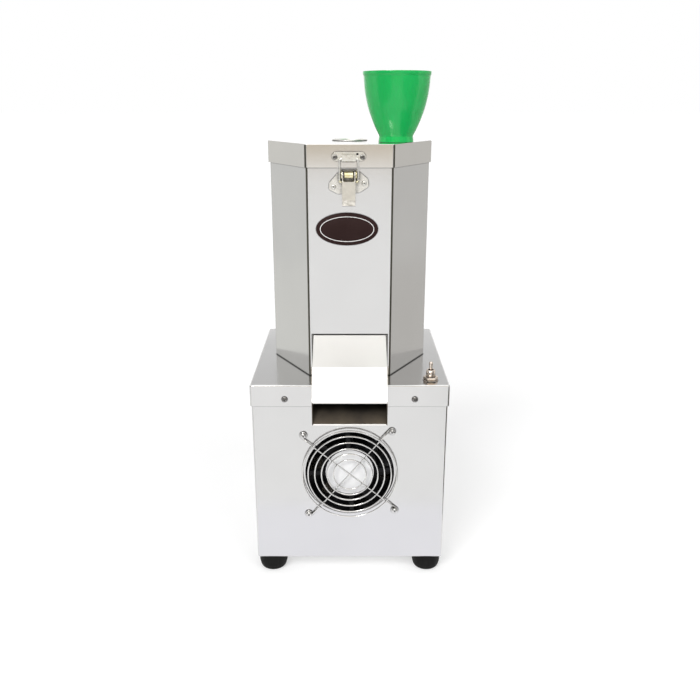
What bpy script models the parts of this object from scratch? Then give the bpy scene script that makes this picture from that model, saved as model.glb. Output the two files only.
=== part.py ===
"""Garlic peeling machine: a hexagonal stainless tower with a hinged lid, on a square cabinet with a fan.

Metres, +Z up, the front towards -Y. The origin is on the table, under the centre of the whole machine.
"""
import math

import bmesh
import bpy
from mathutils import Matrix, Vector

# Sheets, clearances and facets
SHEET = 0.0012
GAP = 0.0003
OVERRUN = 0.004
DISC_STEPS = 30
ROUND_STEPS = 24
COLLAR_STEPS = 18
DOME_STEPS = 15
THREAD_STEPS = 12
SMALL_STEPS = 10
SCREW_STEPS = 8
BEND_STEPS = 2
SMOOTH_ANGLE = math.radians(32)

# Cabinet
SHELL_SIDE = 0.2300
SHELL_HEIGHT = 0.2287
SHELL_BEND = 0.0020
COVER_FLANGE = 0.0260
COVER_EDGE = 0.0008
COVER_SCREW_SPREAD = 0.0760
COVER_SCREW_DROP = 0.0172
VENT_LENGTH = 0.0420
VENT_WIDTH = 0.0050
VENT_PITCH = 0.0110
VENT_ROWS = 6
VENT_COLUMN_SPREAD = 0.0300
VENT_BASE = 0.1150

# Feet
FOOT_HEIGHT = 0.0217
FOOT_RADIUS = 0.0177
FOOT_INSET = 0.0180
FOOT_STUD_RADIUS = 0.0025
FOOT_STUD_LENGTH = 0.0080
FOOT_SHARES = ((0.0, 0.0), (0.68, 0.0), (0.86, 0.10), (0.96, 0.32), (1.0, 0.58), (1.0, 1.0))

# Pan-head screws of the cover and the fan
PAN_HEAD_SHARES = ((0.0, 1.0), (0.55, 0.88), (0.90, 0.50), (1.0, 0.0))
COVER_SCREW_RADIUS = 0.0017
COVER_SCREW_HEAD = 0.0035
COVER_SCREW_HEAD_HEIGHT = 0.0021
COVER_SCREW_LENGTH = 0.0070
FAN_SCREW_RADIUS = 0.0020
FAN_SCREW_HEAD = 0.0041
FAN_SCREW_HEAD_HEIGHT = 0.0026
FAN_SCREW_LENGTH = 0.0080

# Fan
FAN_SIDE = 0.1200
FAN_DEPTH = 0.0380
FAN_FLANGE = 0.0040
FAN_CORNER = 0.0060
FAN_SCREW_INSET = 0.0075
FAN_BORE_EDGE = 0.0025
FAN_BARREL_WALL = 0.0017
FAN_HOLE_LEDGE = 0.0040
FAN_DROP = 0.1117
FAN_TURN = math.radians(2.7)
FAN_HUB_RADIUS = 0.0310
FAN_HUB_DEPTH = 0.0100
FAN_HUB_RECESS = 0.0010
FAN_STRUT_WIDTH = 0.0050
FAN_STRUT_DEPTH = 0.0065
FAN_STRUT_ROOT = 0.0080
FAN_STRUT_COUNT = 4
FAN_AXLE_RADIUS = 0.0025
FAN_AXLE_DEPTH = 0.0070
ROTOR_CAN_RADIUS = 0.0340
ROTOR_CAN_DEPTH = 0.0210
ROTOR_END_GAP = 0.0012
BLADE_COUNT = 7
BLADE_TIP_GAP = 0.0020
BLADE_THICKNESS = 0.0016
BLADE_DEPTH = 0.0180
BLADE_SWEEP = math.radians(38)
LABEL_RADIUS = 0.0290
LABEL_THICKNESS = 0.0004

# Finger guard
WIRE_RADIUS = 0.0009
GUARD_EDGE_GAP = 0.0005
GUARD_RING_INSETS = (0.0, 0.0070, 0.0150, 0.0230, 0.0300, 0.0375)
GUARD_STEPS_PER_RADIUS = 450
GUARD_SIDES = 5
GUARD_ARM_HEIGHT = 0.0034
GUARD_RING_LIFT = 0.0014
GUARD_EYE_RADIUS = 0.0036
GUARD_EYE_TURN = math.radians(285)
GUARD_EYE_STEPS = 8
GUARD_RAMP = 0.0060

# Motor
SHAFT_RADIUS = 0.0070
MOTOR_FLANGE_RADIUS = 0.0560
MOTOR_FLANGE_DEPTH = 0.0080
MOTOR_BODY_RADIUS = 0.0520
MOTOR_BODY_LENGTH = 0.0900
MOTOR_STEP = 0.0030
MOTOR_WAIST = 0.0090
MOTOR_PILOT_RADIUS = 0.0157
MOTOR_BORE_DEPTH = 0.0400
MOTOR_CAP_DEPTH = 0.0200
MOTOR_CAP_SHARES = ((1.0, 1.0), (1.0, 0.55), (0.93, 0.25), (0.72, 0.05), (0.40, 0.0), (0.0, 0.0))
MOTOR_BOLT_CIRCLE = 0.0420
MOTOR_BOLT_RADIUS = 0.0025
MOTOR_BOLT_HEAD = 0.0045
MOTOR_BOLT_HEAD_HEIGHT = 0.0025
MOTOR_BOLT_LENGTH = 0.0120
MOTOR_BOLT_COUNT = 4
CAPACITOR_RADIUS = 0.0175
CAPACITOR_HEIGHT = 0.0700
CAPACITOR_RIM = 0.0020
CAPACITOR_BACK = 0.0500
CLIP_THICKNESS = 0.0010
CLIP_HEIGHT = 0.0140
CLIP_LENGTH = 0.0520
CLIP_LEVEL = 0.0250

# Cable gland in the rear wall
GLAND_SIDE = 0.0600
GLAND_LEVEL = 0.0400
GLAND_HEX = 0.0110
GLAND_FLANGE = 0.0040
GLAND_THREAD_RADIUS = 0.0080
GLAND_BORE_RADIUS = 0.0045
GLAND_SPIGOT = 0.0065
GLAND_INSIDE = 0.0070
GLAND_DOME_LENGTH = 0.0100
GLAND_DOME_HEX = 0.0100
GLAND_DOME_SKIN = 0.0020
LOCKNUT_HEIGHT = 0.0040

# Toggle switch
SWITCH_INSET = 0.0196
SWITCH_BACK = 0.0166
SWITCH_BODY_WIDTH = 0.0160
SWITCH_BODY_DEPTH = 0.0220
SWITCH_BODY_HEIGHT = 0.0180
BUSHING_RADIUS = 0.0056
BUSHING_HEIGHT = 0.0130
BUSHING_CAVITY_RADIUS = 0.0034
BUSHING_CAVITY_DEPTH = 0.0062
SWITCH_WASHER_RADIUS = 0.00885
SWITCH_WASHER_THICKNESS = 0.0008
SWITCH_NUT_HEX = 0.0075
SWITCH_NUT_HEIGHT = 0.0034
LEVER_BALL_RADIUS = 0.0029
LEVER_PIVOT_DEPTH = 0.0030
LEVER_TIP_HEIGHT = 0.0227
LEVER_TIP_RADIUS = 0.0023
LEVER_BAT_SHARES = ((0.62, 0.20), (0.62, 0.35), (0.95, 0.78), (1.0, 0.90), (0.80, 0.98), (0.0, 1.0))

# Tower
TOWER_SIDE = 0.0960
TOWER_HEIGHT = 0.2672
TOWER_BEND = 0.0022
TOWER_FLANGE = 0.0140
FLOOR_THICKNESS = 0.0020
SEAL_RADIUS = 0.0130
SEAL_COLLAR_RADIUS = 0.0097
SEAL_HEIGHT = 0.0036

# Rotor
DISC_RADIUS = 0.0750
DISC_THICKNESS = 0.0030
DISC_RISE = 0.0050
DISC_EDGE = 0.0006
SPIGOT_RADIUS = 0.0050
SPIGOT_HEIGHT = 0.0080
HUB_NUT_HEX = 0.0085
HUB_NUT_HEIGHT = 0.0120
HUB_NUT_SKIN = 0.0020
FINGER_COUNT = 4
FINGER_CIRCLE = 0.0500
FINGER_FOOT_RADIUS = 0.0090
FINGER_FOOT_HEIGHT = 0.0030
FINGER_ROOT_RADIUS = 0.0065
FINGER_TIP_RADIUS = 0.0048
FINGER_HEIGHT = 0.0420
FINGER_STEM_RADIUS = 0.0035
DOME_SHARES = ((1.0, 0.0), (0.92, 0.38), (0.70, 0.71), (0.38, 0.92), (0.0, 1.0))

# Discharge chute, heights from the cover's top and reaches from the cabinet's front wall
CHUTE_WIDTH = 0.0850
CHUTE_LIP_REACH = 0.0393
CHUTE_LIP_DROP = 0.0057
CHUTE_MOUTH_HEIGHT = 0.0285
CHUTE_BEND_REACH = 0.0150
CHUTE_BEND_RISE = 0.0268
CHUTE_TOP_RISE = 0.0510
CHUTE_FLOOR_RISE = 0.0104
CHUTE_CREST_GAP = 0.0004
CHUTE_FLANGE = 0.0038
CHUTE_OPENING_SIDE_GAP = 0.0024
CHUTE_OPENING_TOP_GAP = 0.0013
CHUTE_OPENING_BASE_GAP = 0.0010

# Lid
LID_SHEET = 0.0008
LID_GAP = 0.0014
LID_SKIRT = 0.0250
LID_EDGE = 0.0006
PORT_RADIUS = 0.0200
PORT_WALL = 0.0014
PORT_RIM_RADIUS = 0.0212
PORT_RIM_HEIGHT = 0.0012
PORT_DEPTH = 0.0060
RIM_SHARES = ((1.0, 0.0), (1.0, 0.45), (0.72, 0.90), (0.40, 1.0), (0.10, 0.85), (0.0, 0.50))

# Rear hinge, offsets from the tower's rear face and the skirt's lower edge
HINGE_OFFSET = 0.0064
HINGE_RISE = 0.0029
HINGE_BARREL_RADIUS = 0.0036
HINGE_PIN_RADIUS = 0.0020
HINGE_LENGTH = 0.0600
HINGE_KNUCKLES = 5
HINGE_LEAF = 0.0012
HINGE_LID_LEAF = 0.0180
HINGE_TOWER_LEAF = 0.0240
HINGE_DROP = 0.0040
HINGE_ROOM = 0.0006

# Toggle latch, offsets outwards from the tower's front face, heights below the lid's top
LATCH_X = -0.0010
LATCH_PLATE = 0.0012
STRIKE_WIDTH = 0.0388
STRIKE_HEIGHT = 0.0093
STRIKE_DROP = 0.0129
STRIKE_SHARES = ((-1.0, 0.0), (-0.80, -1.0), (0.80, -1.0), (1.0, 0.0), (0.80, 1.0), (-0.80, 1.0))
STRIKE_RIVET_SPREAD = 0.0150
STRIKE_RIVET_DROP = 0.0009
STRIKE_SPARE_HOLE = 0.0094
STRIKE_SPARE_RADIUS = 0.0013
HOOK_WIDTH = 0.0154
HOOK_STRIP = 0.0011
HOOK_TIP_DROP = 0.0115
HOOK_BASE_DROP = 0.0181
HOOK_BACK_ROOM = 0.0025
HOOK_FRONT_ROOM = 0.00075
BAIL_WIRE = 0.00125
BAIL_WIDTH = 0.0227
BAIL_CORNER = 0.0026
BAIL_STUB_BEND = 0.0015
BAIL_SIDES = 8
BAIL_DROP = 0.0398
BAIL_STUB_INSIDE = 0.0015
LEVER_WIDTH = 0.0145
LEVER_SHEET = 0.0010
LEVER_ARM = 0.0072
LEVER_DEPTH_FRONT = 0.0039
LEVER_DEPTH_BACK = 0.0033
LEVER_HEAD = 0.0033
LEVER_WEB_TOP = 0.0066
LEVER_LENGTH = 0.0280
LEVER_TAB = 0.0050
LEVER_TAB_LIFT = 0.0030
PIVOT_PIN_RADIUS = 0.0013
EAR_RADIUS = 0.0043
EAR_THICKNESS = 0.0010
KNUCKLE_WIDTH = 0.0095
KNUCKLE_RADIUS = 0.0034
KNUCKLE_WEB = 0.0026
BASE_HALF_WIDTH = 0.0220
BASE_LENGTH = 0.0210
BASE_SHARES = (
    (-1.0, -0.76), (-0.55, -1.0), (0.55, -0.92), (1.0, -0.62),
    (0.96, -0.22), (0.42, 0.24), (-0.42, 0.24), (-0.98, -0.42),
)
BASE_CORNER = 0.0020
BASE_RIVET_SPREAD = 0.0170
BASE_RIVET_DROPS = (0.0132, 0.0094)
RIVET_RADIUS = 0.0014
RIVET_HEAD = 0.0025
RIVET_HEAD_HEIGHT = 0.0012
RIVET_TAIL = 0.0008

# Badge plate
BADGE_WIDTH = 0.0700
BADGE_HEIGHT = 0.0367
BADGE_THICKNESS = 0.0010
BADGE_BEVEL = 0.0004
BADGE_X = -0.0030
BADGE_DROP = 0.0928
BADGE_STEPS = 32

# Feed cup, standing on the lid
CUP_X = 0.0530
CUP_FRONT = 0.0380
CUP_HEIGHT = 0.0756
CUP_RIM_RADIUS = 0.0384
CUP_WALL = 0.0014
CUP_FLOOR = 0.0075
CUP_SHARES = (
    (0.523, 0.0), (0.505, 0.081), (0.513, 0.095), (0.630, 0.212), (0.734, 0.337),
    (0.844, 0.500), (0.917, 0.661), (0.958, 0.807), (0.977, 0.939), (1.0, 0.962), (1.0, 1.0),
)

# Places worked out from the sizes
APOTHEM = TOWER_SIDE * math.cos(math.radians(30))
GLAND_REACH = GAP + GLAND_FLANGE + GAP + GLAND_DOME_LENGTH
CENTRE_Y = (CHUTE_LIP_REACH - GLAND_REACH) / 2
FRONT_Y = CENTRE_Y - SHELL_SIDE / 2
REAR_Y = CENTRE_Y + SHELL_SIDE / 2
BASE_Z = FOOT_HEIGHT + GAP
SHELL_TOP_Z = BASE_Z + SHELL_HEIGHT
COVER_UNDER_Z = SHELL_TOP_Z + GAP
COVER_Z = COVER_UNDER_Z + SHEET
TOWER_Z = COVER_Z + GAP
TOWER_TOP_Z = TOWER_Z + TOWER_HEIGHT
LID_UNDER_Z = TOWER_TOP_Z + GAP
LID_Z = LID_UNDER_Z + LID_SHEET
SKIRT_Z = LID_Z - LID_SKIRT
FLOOR_Z = TOWER_Z + SHEET + GAP
FLOOR_TOP_Z = FLOOR_Z + FLOOR_THICKNESS
DISC_Z = FLOOR_TOP_Z + DISC_RISE
TOWER_FRONT_Y = CENTRE_Y - APOTHEM
TOWER_REAR_Y = CENTRE_Y + APOTHEM
SKIRT_OUT = LID_GAP + LID_SHEET
FAN_Z = SHELL_TOP_Z - FAN_DROP
FAN_FACE = -SHEET - GAP
FAN_SCREW_SPREAD = FAN_SIDE / 2 - FAN_SCREW_INSET
FAN_BORE_RADIUS = FAN_SIDE / 2 - FAN_BORE_EDGE
FAN_BARREL_RADIUS = FAN_BORE_RADIUS + FAN_BARREL_WALL
FAN_HOLE_RADIUS = FAN_BORE_RADIUS - FAN_HOLE_LEDGE
ROTOR_FACE = FAN_FACE - FAN_HUB_RECESS - FAN_HUB_DEPTH - ROTOR_END_GAP
SWITCH_X = SHELL_SIDE / 2 - SWITCH_INSET
HINGE_Y = TOWER_REAR_Y + HINGE_OFFSET
HINGE_Z = SKIRT_Z + HINGE_RISE
STRIKE_OUT = SKIRT_OUT + GAP + LATCH_PLATE
BAIL_OUT = STRIKE_OUT + HOOK_BACK_ROOM + BAIL_WIRE
BAIL_Z = LID_Z - BAIL_DROP
PIVOT_Z = BAIL_Z + LEVER_ARM
HOOK_FLOOR_Z = LID_Z - HOOK_BASE_DROP + HOOK_STRIP
BAR_Z = HOOK_FLOOR_Z + GAP + BAIL_WIRE
LEVER_TIP_SPAN = LEVER_TIP_HEIGHT - BUSHING_HEIGHT + LEVER_PIVOT_DEPTH

# Directions in which an outline drawn flat is set up: u, v, w to world axes
UPRIGHT = Matrix.Identity(4)
TO_FRONT = Matrix(((1, 0, 0, 0), (0, 0, -1, 0), (0, 1, 0, 0), (0, 0, 0, 1)))
TO_REAR = Matrix(((-1, 0, 0, 0), (0, 0, 1, 0), (0, 1, 0, 0), (0, 0, 0, 1)))
TO_SIDE = Matrix(((0, 0, 1, 0), (1, 0, 0, 0), (0, 1, 0, 0), (0, 0, 0, 1)))
# The fan and its guard sit a little turned on the panel
TO_FAN = TO_FRONT @ Matrix.Rotation(FAN_TURN, 4, "Z")
# Drawn outwards from the tower's front: u outwards (-Y), v up, w along -X
FROM_FRONT = Matrix(((0, 0, -1, 0), (-1, 0, 0, 0), (0, 1, 0, 0), (0, 0, 0, 1)))

FINISHES = {
    "stainless": ((0.62, 0.62, 0.60), 0.28, 1.0),
    "chrome": ((0.80, 0.79, 0.77), 0.12, 1.0),
    "zinc": ((0.72, 0.62, 0.30), 0.35, 1.0),
    "steel": ((0.45, 0.45, 0.46), 0.40, 1.0),
    "cast": ((0.30, 0.33, 0.36), 0.55, 0.0),
    "black_plastic": ((0.03, 0.03, 0.03), 0.45, 0.0),
    "black_rubber": ((0.02, 0.02, 0.02), 0.75, 0.0),
    "food_rubber": ((0.75, 0.72, 0.62), 0.60, 0.0),
    "white_paper": ((0.85, 0.85, 0.85), 0.50, 0.0),
    "brown_plate": ((0.07, 0.03, 0.03), 0.30, 0.0),
    "green_plastic": ((0.01, 0.42, 0.16), 0.25, 0.0),
}


def finish(name):
    """The material of this name, made the first time it is asked for."""
    if name in bpy.data.materials:
        return bpy.data.materials[name]
    colour, roughness, metallic = FINISHES[name]
    made = bpy.data.materials.new(name)
    made.use_nodes = True
    shader = made.node_tree.nodes["Principled BSDF"]
    shader.inputs["Base Color"].default_value = (*colour, 1.0)
    shader.inputs["Roughness"].default_value = roughness
    shader.inputs["Metallic"].default_value = metallic
    made.diffuse_color = (*colour, 1.0)
    return made


def world_place(item):
    """Where an unturned object stands, through its parents."""
    place = Vector((0, 0, 0))
    while item:
        place = place + item.location
        item = item.parent
    return place


def make(name, mesh, finish_name, origin, carrier=None):
    """One piece from a mesh drawn in place, its origin at the point given."""
    bmesh.ops.recalc_face_normals(mesh, faces=mesh.faces)
    bmesh.ops.translate(mesh, verts=mesh.verts, vec=-Vector(origin))
    data = bpy.data.meshes.new(name)
    mesh.to_mesh(data)
    mesh.free()
    data.materials.append(finish(finish_name))
    data.shade_smooth()
    data.set_sharp_from_angle(angle=SMOOTH_ANGLE)
    piece = bpy.data.objects.new(name, data)
    bpy.context.scene.collection.objects.link(piece)
    piece.parent = carrier
    piece.location = Vector(origin) - world_place(carrier)
    return piece


def axis_mark(name, origin, carrier=None):
    """An empty on a joint's axis, which carries the pieces that move with it."""
    mark = bpy.data.objects.new(name, None)
    bpy.context.scene.collection.objects.link(mark)
    mark.parent = carrier
    mark.location = Vector(origin) - world_place(carrier)
    return mark


def shaped(piece, mesh, operation):
    """Adds or removes a shape, which stays on the piece as a hidden guide."""
    guide = make(f"{piece.name}_{operation.lower()}_{len(piece.modifiers)}", mesh, "steel",
                 world_place(piece), piece)
    guide.hide_render = True
    guide.display_type = "WIRE"
    change = piece.modifiers.new(guide.name, "BOOLEAN")
    change.operation = operation
    change.object = guide
    return piece


def cut(piece, mesh):
    return shaped(piece, mesh, "DIFFERENCE")


def add(piece, mesh):
    return shaped(piece, mesh, "UNION")


def circle(radius, steps=ROUND_STEPS, centre=(0.0, 0.0)):
    """Points round a circle, counter-clockwise."""
    turns = [math.tau * step / steps for step in range(steps)]
    return [(centre[0] + radius * math.cos(turn), centre[1] + radius * math.sin(turn)) for turn in turns]


def arc(centre, radius, start, turn, steps):
    """Points along an arc, both ends included."""
    angles = [start + turn * step / steps for step in range(steps + 1)]
    return [(centre[0] + radius * math.cos(a), centre[1] + radius * math.sin(a)) for a in angles]


def rectangle(half_u, half_v, centre=(0.0, 0.0)):
    u, v = centre
    return [(u - half_u, v - half_v), (u + half_u, v - half_v),
            (u + half_u, v + half_v), (u - half_u, v + half_v)]


def hexagon(apothem, centre=(0.0, 0.0)):
    """A regular hexagon with corners to the left and the right."""
    return circle(apothem / math.cos(math.radians(30)), 6, centre)


def rounded(corners, radius, steps=BEND_STEPS):
    """An outline with each of its corners turned at one radius."""
    outline = []
    for index, corner in enumerate(corners):
        here = Vector(corner)
        back = (Vector(corners[index - 1]) - here).normalized()
        ahead = (Vector(corners[(index + 1) % len(corners)]) - here).normalized()
        half = back.angle(ahead) / 2
        centre = here + (back + ahead).normalized() * radius / math.sin(half)
        start = here + back * radius / math.tan(half) - centre
        end = here + ahead * radius / math.tan(half) - centre
        first = math.atan2(start.y, start.x)
        turn = math.remainder(math.atan2(end.y, end.x) - first, math.tau)
        outline += arc(centre, radius, first, turn, steps)
    return outline


def slot(half_length, half_width, centre):
    """A slot with round ends, drawn as two half circles."""
    reach = half_length - half_width
    right = arc((centre[0] + reach, centre[1]), half_width, -math.pi / 2, math.pi, BEND_STEPS)
    left = arc((centre[0] - reach, centre[1]), half_width, math.pi / 2, math.pi, BEND_STEPS)
    return right + left


def scaled(shares, half_width, half_height, centre=(0.0, 0.0)):
    """An outline from shares of its half width and half height."""
    return [(centre[0] + u * half_width, centre[1] + v * half_height) for u, v in shares]


def level(outline, height, centre=(0.0, CENTRE_Y)):
    """A flat outline lifted to a height, about a centre."""
    return [(centre[0] + u, centre[1] + v, height) for u, v in outline]


def loft(loops, closed=False):
    """A skin over rings of points in step with each other, capped unless it closes on itself."""
    mesh = bmesh.new()
    rings = [[mesh.verts.new(point) for point in loop] for loop in loops]
    pairs = list(zip(rings, rings[1:]))
    if closed:
        pairs.append((rings[-1], rings[0]))
    for lower, upper in pairs:
        for step in range(len(lower)):
            after = (step + 1) % len(lower)
            mesh.faces.new((lower[step], lower[after], upper[after], upper[step]))
    if not closed:
        mesh.faces.new(reversed(rings[0]))
        mesh.faces.new(rings[-1])
    return mesh


def set_up(mesh, direction, at):
    """Turns a mesh drawn flat to its direction and moves it to its place."""
    bmesh.ops.transform(mesh, matrix=Matrix.Translation(at) @ direction, verts=mesh.verts)
    return mesh


def prism(outline, low, high, direction=UPRIGHT, at=(0.0, 0.0, 0.0)):
    """A flat outline given a thickness."""
    return set_up(loft([[(u, v, w) for u, v in outline] for w in (low, high)]), direction, at)


def turned(profile, direction=UPRIGHT, at=(0.0, 0.0, 0.0), steps=ROUND_STEPS):
    """A closed profile of radius and height turned about its axis."""
    mesh = bmesh.new()
    rings = []
    for radius, height in profile:
        if radius == 0:
            rings.append([mesh.verts.new((0.0, 0.0, height))])
        else:
            rings.append([mesh.verts.new((u, v, height)) for u, v in circle(radius, steps)])
    for index, ring in enumerate(rings):
        following = rings[(index + 1) % len(rings)]
        join_rings(mesh, ring, following, steps)
    return set_up(mesh, direction, at)


def join_rings(mesh, ring, following, steps):
    """The faces between two rings, either of which may be a single point."""
    if len(ring) == 1 and len(following) == 1:
        return
    for step in range(steps):
        after = (step + 1) % steps
        corners = [ring[step % len(ring)], ring[after % len(ring)]]
        corners += [following[after % len(following)], following[step % len(following)]]
        mesh.faces.new(list(dict.fromkeys(corners)))


def swept(points, radius, sides, closed=False):
    """A round wire along a path, its section kept square to the path."""
    path = [Vector(point) for point in points]
    count = len(path)
    side = None
    loops = []
    for index, point in enumerate(path):
        before = path[index - 1] if closed or index else point
        after = path[(index + 1) % count] if closed or index < count - 1 else point
        along = (after - before).normalized()
        side = side or along.orthogonal()
        side = (side - along * side.dot(along)).normalized()
        other = along.cross(side)
        loops.append([point + side * (radius * u) + other * (radius * v) for u, v in circle(1, sides)])
    return loft(loops, closed)


def merged(meshes):
    """Several separate shapes in one mesh, for a tool that works at many places."""
    whole = bmesh.new()
    for mesh in meshes:
        bmesh.ops.recalc_face_normals(mesh, faces=mesh.faces)
        kept = bpy.data.meshes.new("part")
        mesh.to_mesh(kept)
        mesh.free()
        whole.from_mesh(kept)
        bpy.data.meshes.remove(kept)
    return whole


def drill(radius, low, high, direction=UPRIGHT, at=(0.0, 0.0, 0.0), steps=SMALL_STEPS):
    """A round tool for a hole."""
    return prism(circle(radius, steps), low, high, direction, at)


def screw_profile(head, head_height, radius, length):
    """Pan head above zero, shank below."""
    crown = scaled(PAN_HEAD_SHARES, head, head_height)
    return crown + [(radius, 0.0), (radius, -length), (0.0, -length)]


def corners_of(spread_u, spread_v):
    """The four places of a rectangular pattern."""
    return [(-spread_u, -spread_v), (spread_u, -spread_v), (spread_u, spread_v), (-spread_u, spread_v)]


def around(count, radius, start=0.0):
    """Places of a round pattern."""
    return [(radius * math.cos(start + math.tau * n / count), radius * math.sin(start + math.tau * n / count))
            for n in range(count)]


def vent_slots():
    """Rows of slots through the rear wall, in two columns."""
    tools = []
    for row in range(VENT_ROWS):
        for side in (-1, 1):
            place = (side * VENT_COLUMN_SPREAD, VENT_BASE + row * VENT_PITCH)
            outline = slot(VENT_LENGTH / 2, VENT_WIDTH / 2, place)
            tools.append(prism(outline, -SHEET - OVERRUN, OVERRUN, TO_REAR, (0.0, REAR_Y, BASE_Z)))
    return tools


def cover_screw_drills():
    """Holes for the cover's screws, through flange and wall at the front and the rear."""
    tools = []
    for u in (-COVER_SCREW_SPREAD, COVER_SCREW_SPREAD):
        for direction, face in ((TO_FRONT, FRONT_Y), (TO_REAR, REAR_Y)):
            at = (u, face, COVER_Z - COVER_SCREW_DROP)
            tools.append(drill(COVER_SCREW_RADIUS + GAP, -SHEET - OVERRUN, OVERRUN, direction, at))
    return tools


def fan_screw_places(depth):
    """The fan's four screws in the world, on its turned pattern, at a depth from the panel's face."""
    pattern = [TO_FAN @ Vector((u, v, depth)) for u, v in corners_of(FAN_SCREW_SPREAD, FAN_SCREW_SPREAD)]
    return [place + Vector((0.0, FRONT_Y, FAN_Z)) for place in pattern]


def fan_screw_drills(low, high):
    return [drill(FAN_SCREW_RADIUS + GAP, low, high, TO_FRONT, place) for place in fan_screw_places(0.0)]


def foot_places():
    spread = SHELL_SIDE / 2 - FOOT_INSET
    return [(u, CENTRE_Y + v) for u, v in corners_of(spread, spread)]


def base_shell():
    outer = rounded(rectangle(SHELL_SIDE / 2, SHELL_SIDE / 2), SHELL_BEND)
    inner = rounded(rectangle(SHELL_SIDE / 2 - SHEET, SHELL_SIDE / 2 - SHEET), SHELL_BEND - SHEET)
    skin = [level(outer, BASE_Z), level(outer, SHELL_TOP_Z),
            level(inner, SHELL_TOP_Z), level(inner, BASE_Z + SHEET)]
    shell = make("base_shell", loft(skin), "stainless", (0.0, CENTRE_Y, BASE_Z))
    tools = [drill(FAN_HOLE_RADIUS, -SHEET - OVERRUN, OVERRUN, TO_FRONT, (0.0, FRONT_Y, FAN_Z), ROUND_STEPS)]
    tools += fan_screw_drills(-SHEET - OVERRUN, OVERRUN)
    tools += vent_slots()
    tools += cover_screw_drills()
    tools += [drill(FOOT_STUD_RADIUS + GAP, -OVERRUN, SHEET + OVERRUN, UPRIGHT, (u, v, BASE_Z))
              for u, v in foot_places()]
    gland_at = (GLAND_SIDE, REAR_Y, BASE_Z + GLAND_LEVEL)
    tools.append(drill(GLAND_THREAD_RADIUS + GAP, -SHEET - OVERRUN, OVERRUN, TO_REAR, gland_at, THREAD_STEPS))
    cut(shell, merged(tools))


def motor_bolt_drills(low, high, at):
    return [drill(MOTOR_BOLT_RADIUS + GAP, low, high, UPRIGHT, (u, CENTRE_Y + v, at))
            for u, v in around(MOTOR_BOLT_COUNT, MOTOR_BOLT_CIRCLE, math.pi / 4)]


def base_cover():
    half = SHELL_SIDE / 2 + GAP
    inner = rounded(rectangle(half, half), SHELL_BEND + GAP)
    outer = rounded(rectangle(half + SHEET, half + SHEET), SHELL_BEND + GAP + SHEET)
    top_half = half + SHEET - COVER_EDGE
    top = rounded(rectangle(top_half, top_half), SHELL_BEND + GAP + SHEET - COVER_EDGE)
    low = COVER_Z - COVER_FLANGE
    skin = [level(top, COVER_Z), level(outer, COVER_Z - COVER_EDGE), level(outer, low), level(inner, low),
            level(inner, COVER_UNDER_Z)]
    cover = make("base_cover", loft(skin), "stainless", (0.0, CENTRE_Y, COVER_Z))
    centre = (0.0, CENTRE_Y, COVER_Z)
    tools = [drill(MOTOR_PILOT_RADIUS + GAP, -SHEET - OVERRUN, OVERRUN, UPRIGHT, centre, ROUND_STEPS)]
    tools += motor_bolt_drills(-SHEET - OVERRUN, OVERRUN, COVER_Z)
    switch = (SWITCH_X, FRONT_Y + SWITCH_BACK, COVER_Z)
    tools.append(drill(BUSHING_RADIUS + GAP, -SHEET - OVERRUN, OVERRUN, UPRIGHT, switch, THREAD_STEPS))
    cut(cover, merged(tools + cover_screw_drills()))


def cover_screws():
    seat = GAP + SHEET + GAP
    profile = screw_profile(COVER_SCREW_HEAD, COVER_SCREW_HEAD_HEIGHT, COVER_SCREW_RADIUS, COVER_SCREW_LENGTH)
    number = 0
    for direction, face, out in ((TO_FRONT, FRONT_Y, -seat), (TO_REAR, REAR_Y, seat)):
        for u in (-COVER_SCREW_SPREAD, COVER_SCREW_SPREAD):
            number += 1
            at = (u, face + out, COVER_Z - COVER_SCREW_DROP)
            make(f"cover_screw_{number}", turned(profile, direction, at, SCREW_STEPS), "chrome", at)


def feet():
    profile = scaled(FOOT_SHARES, FOOT_RADIUS, FOOT_HEIGHT)
    stud_top = FOOT_HEIGHT + GAP + SHEET + FOOT_STUD_LENGTH
    profile += [(FOOT_STUD_RADIUS, FOOT_HEIGHT), (FOOT_STUD_RADIUS, stud_top), (0.0, stud_top)]
    for number, (u, v) in enumerate(foot_places(), 1):
        at = (u, v, 0.0)
        make(f"foot_{number}", turned(profile, UPRIGHT, at, DOME_STEPS), "black_rubber", at)


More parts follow.
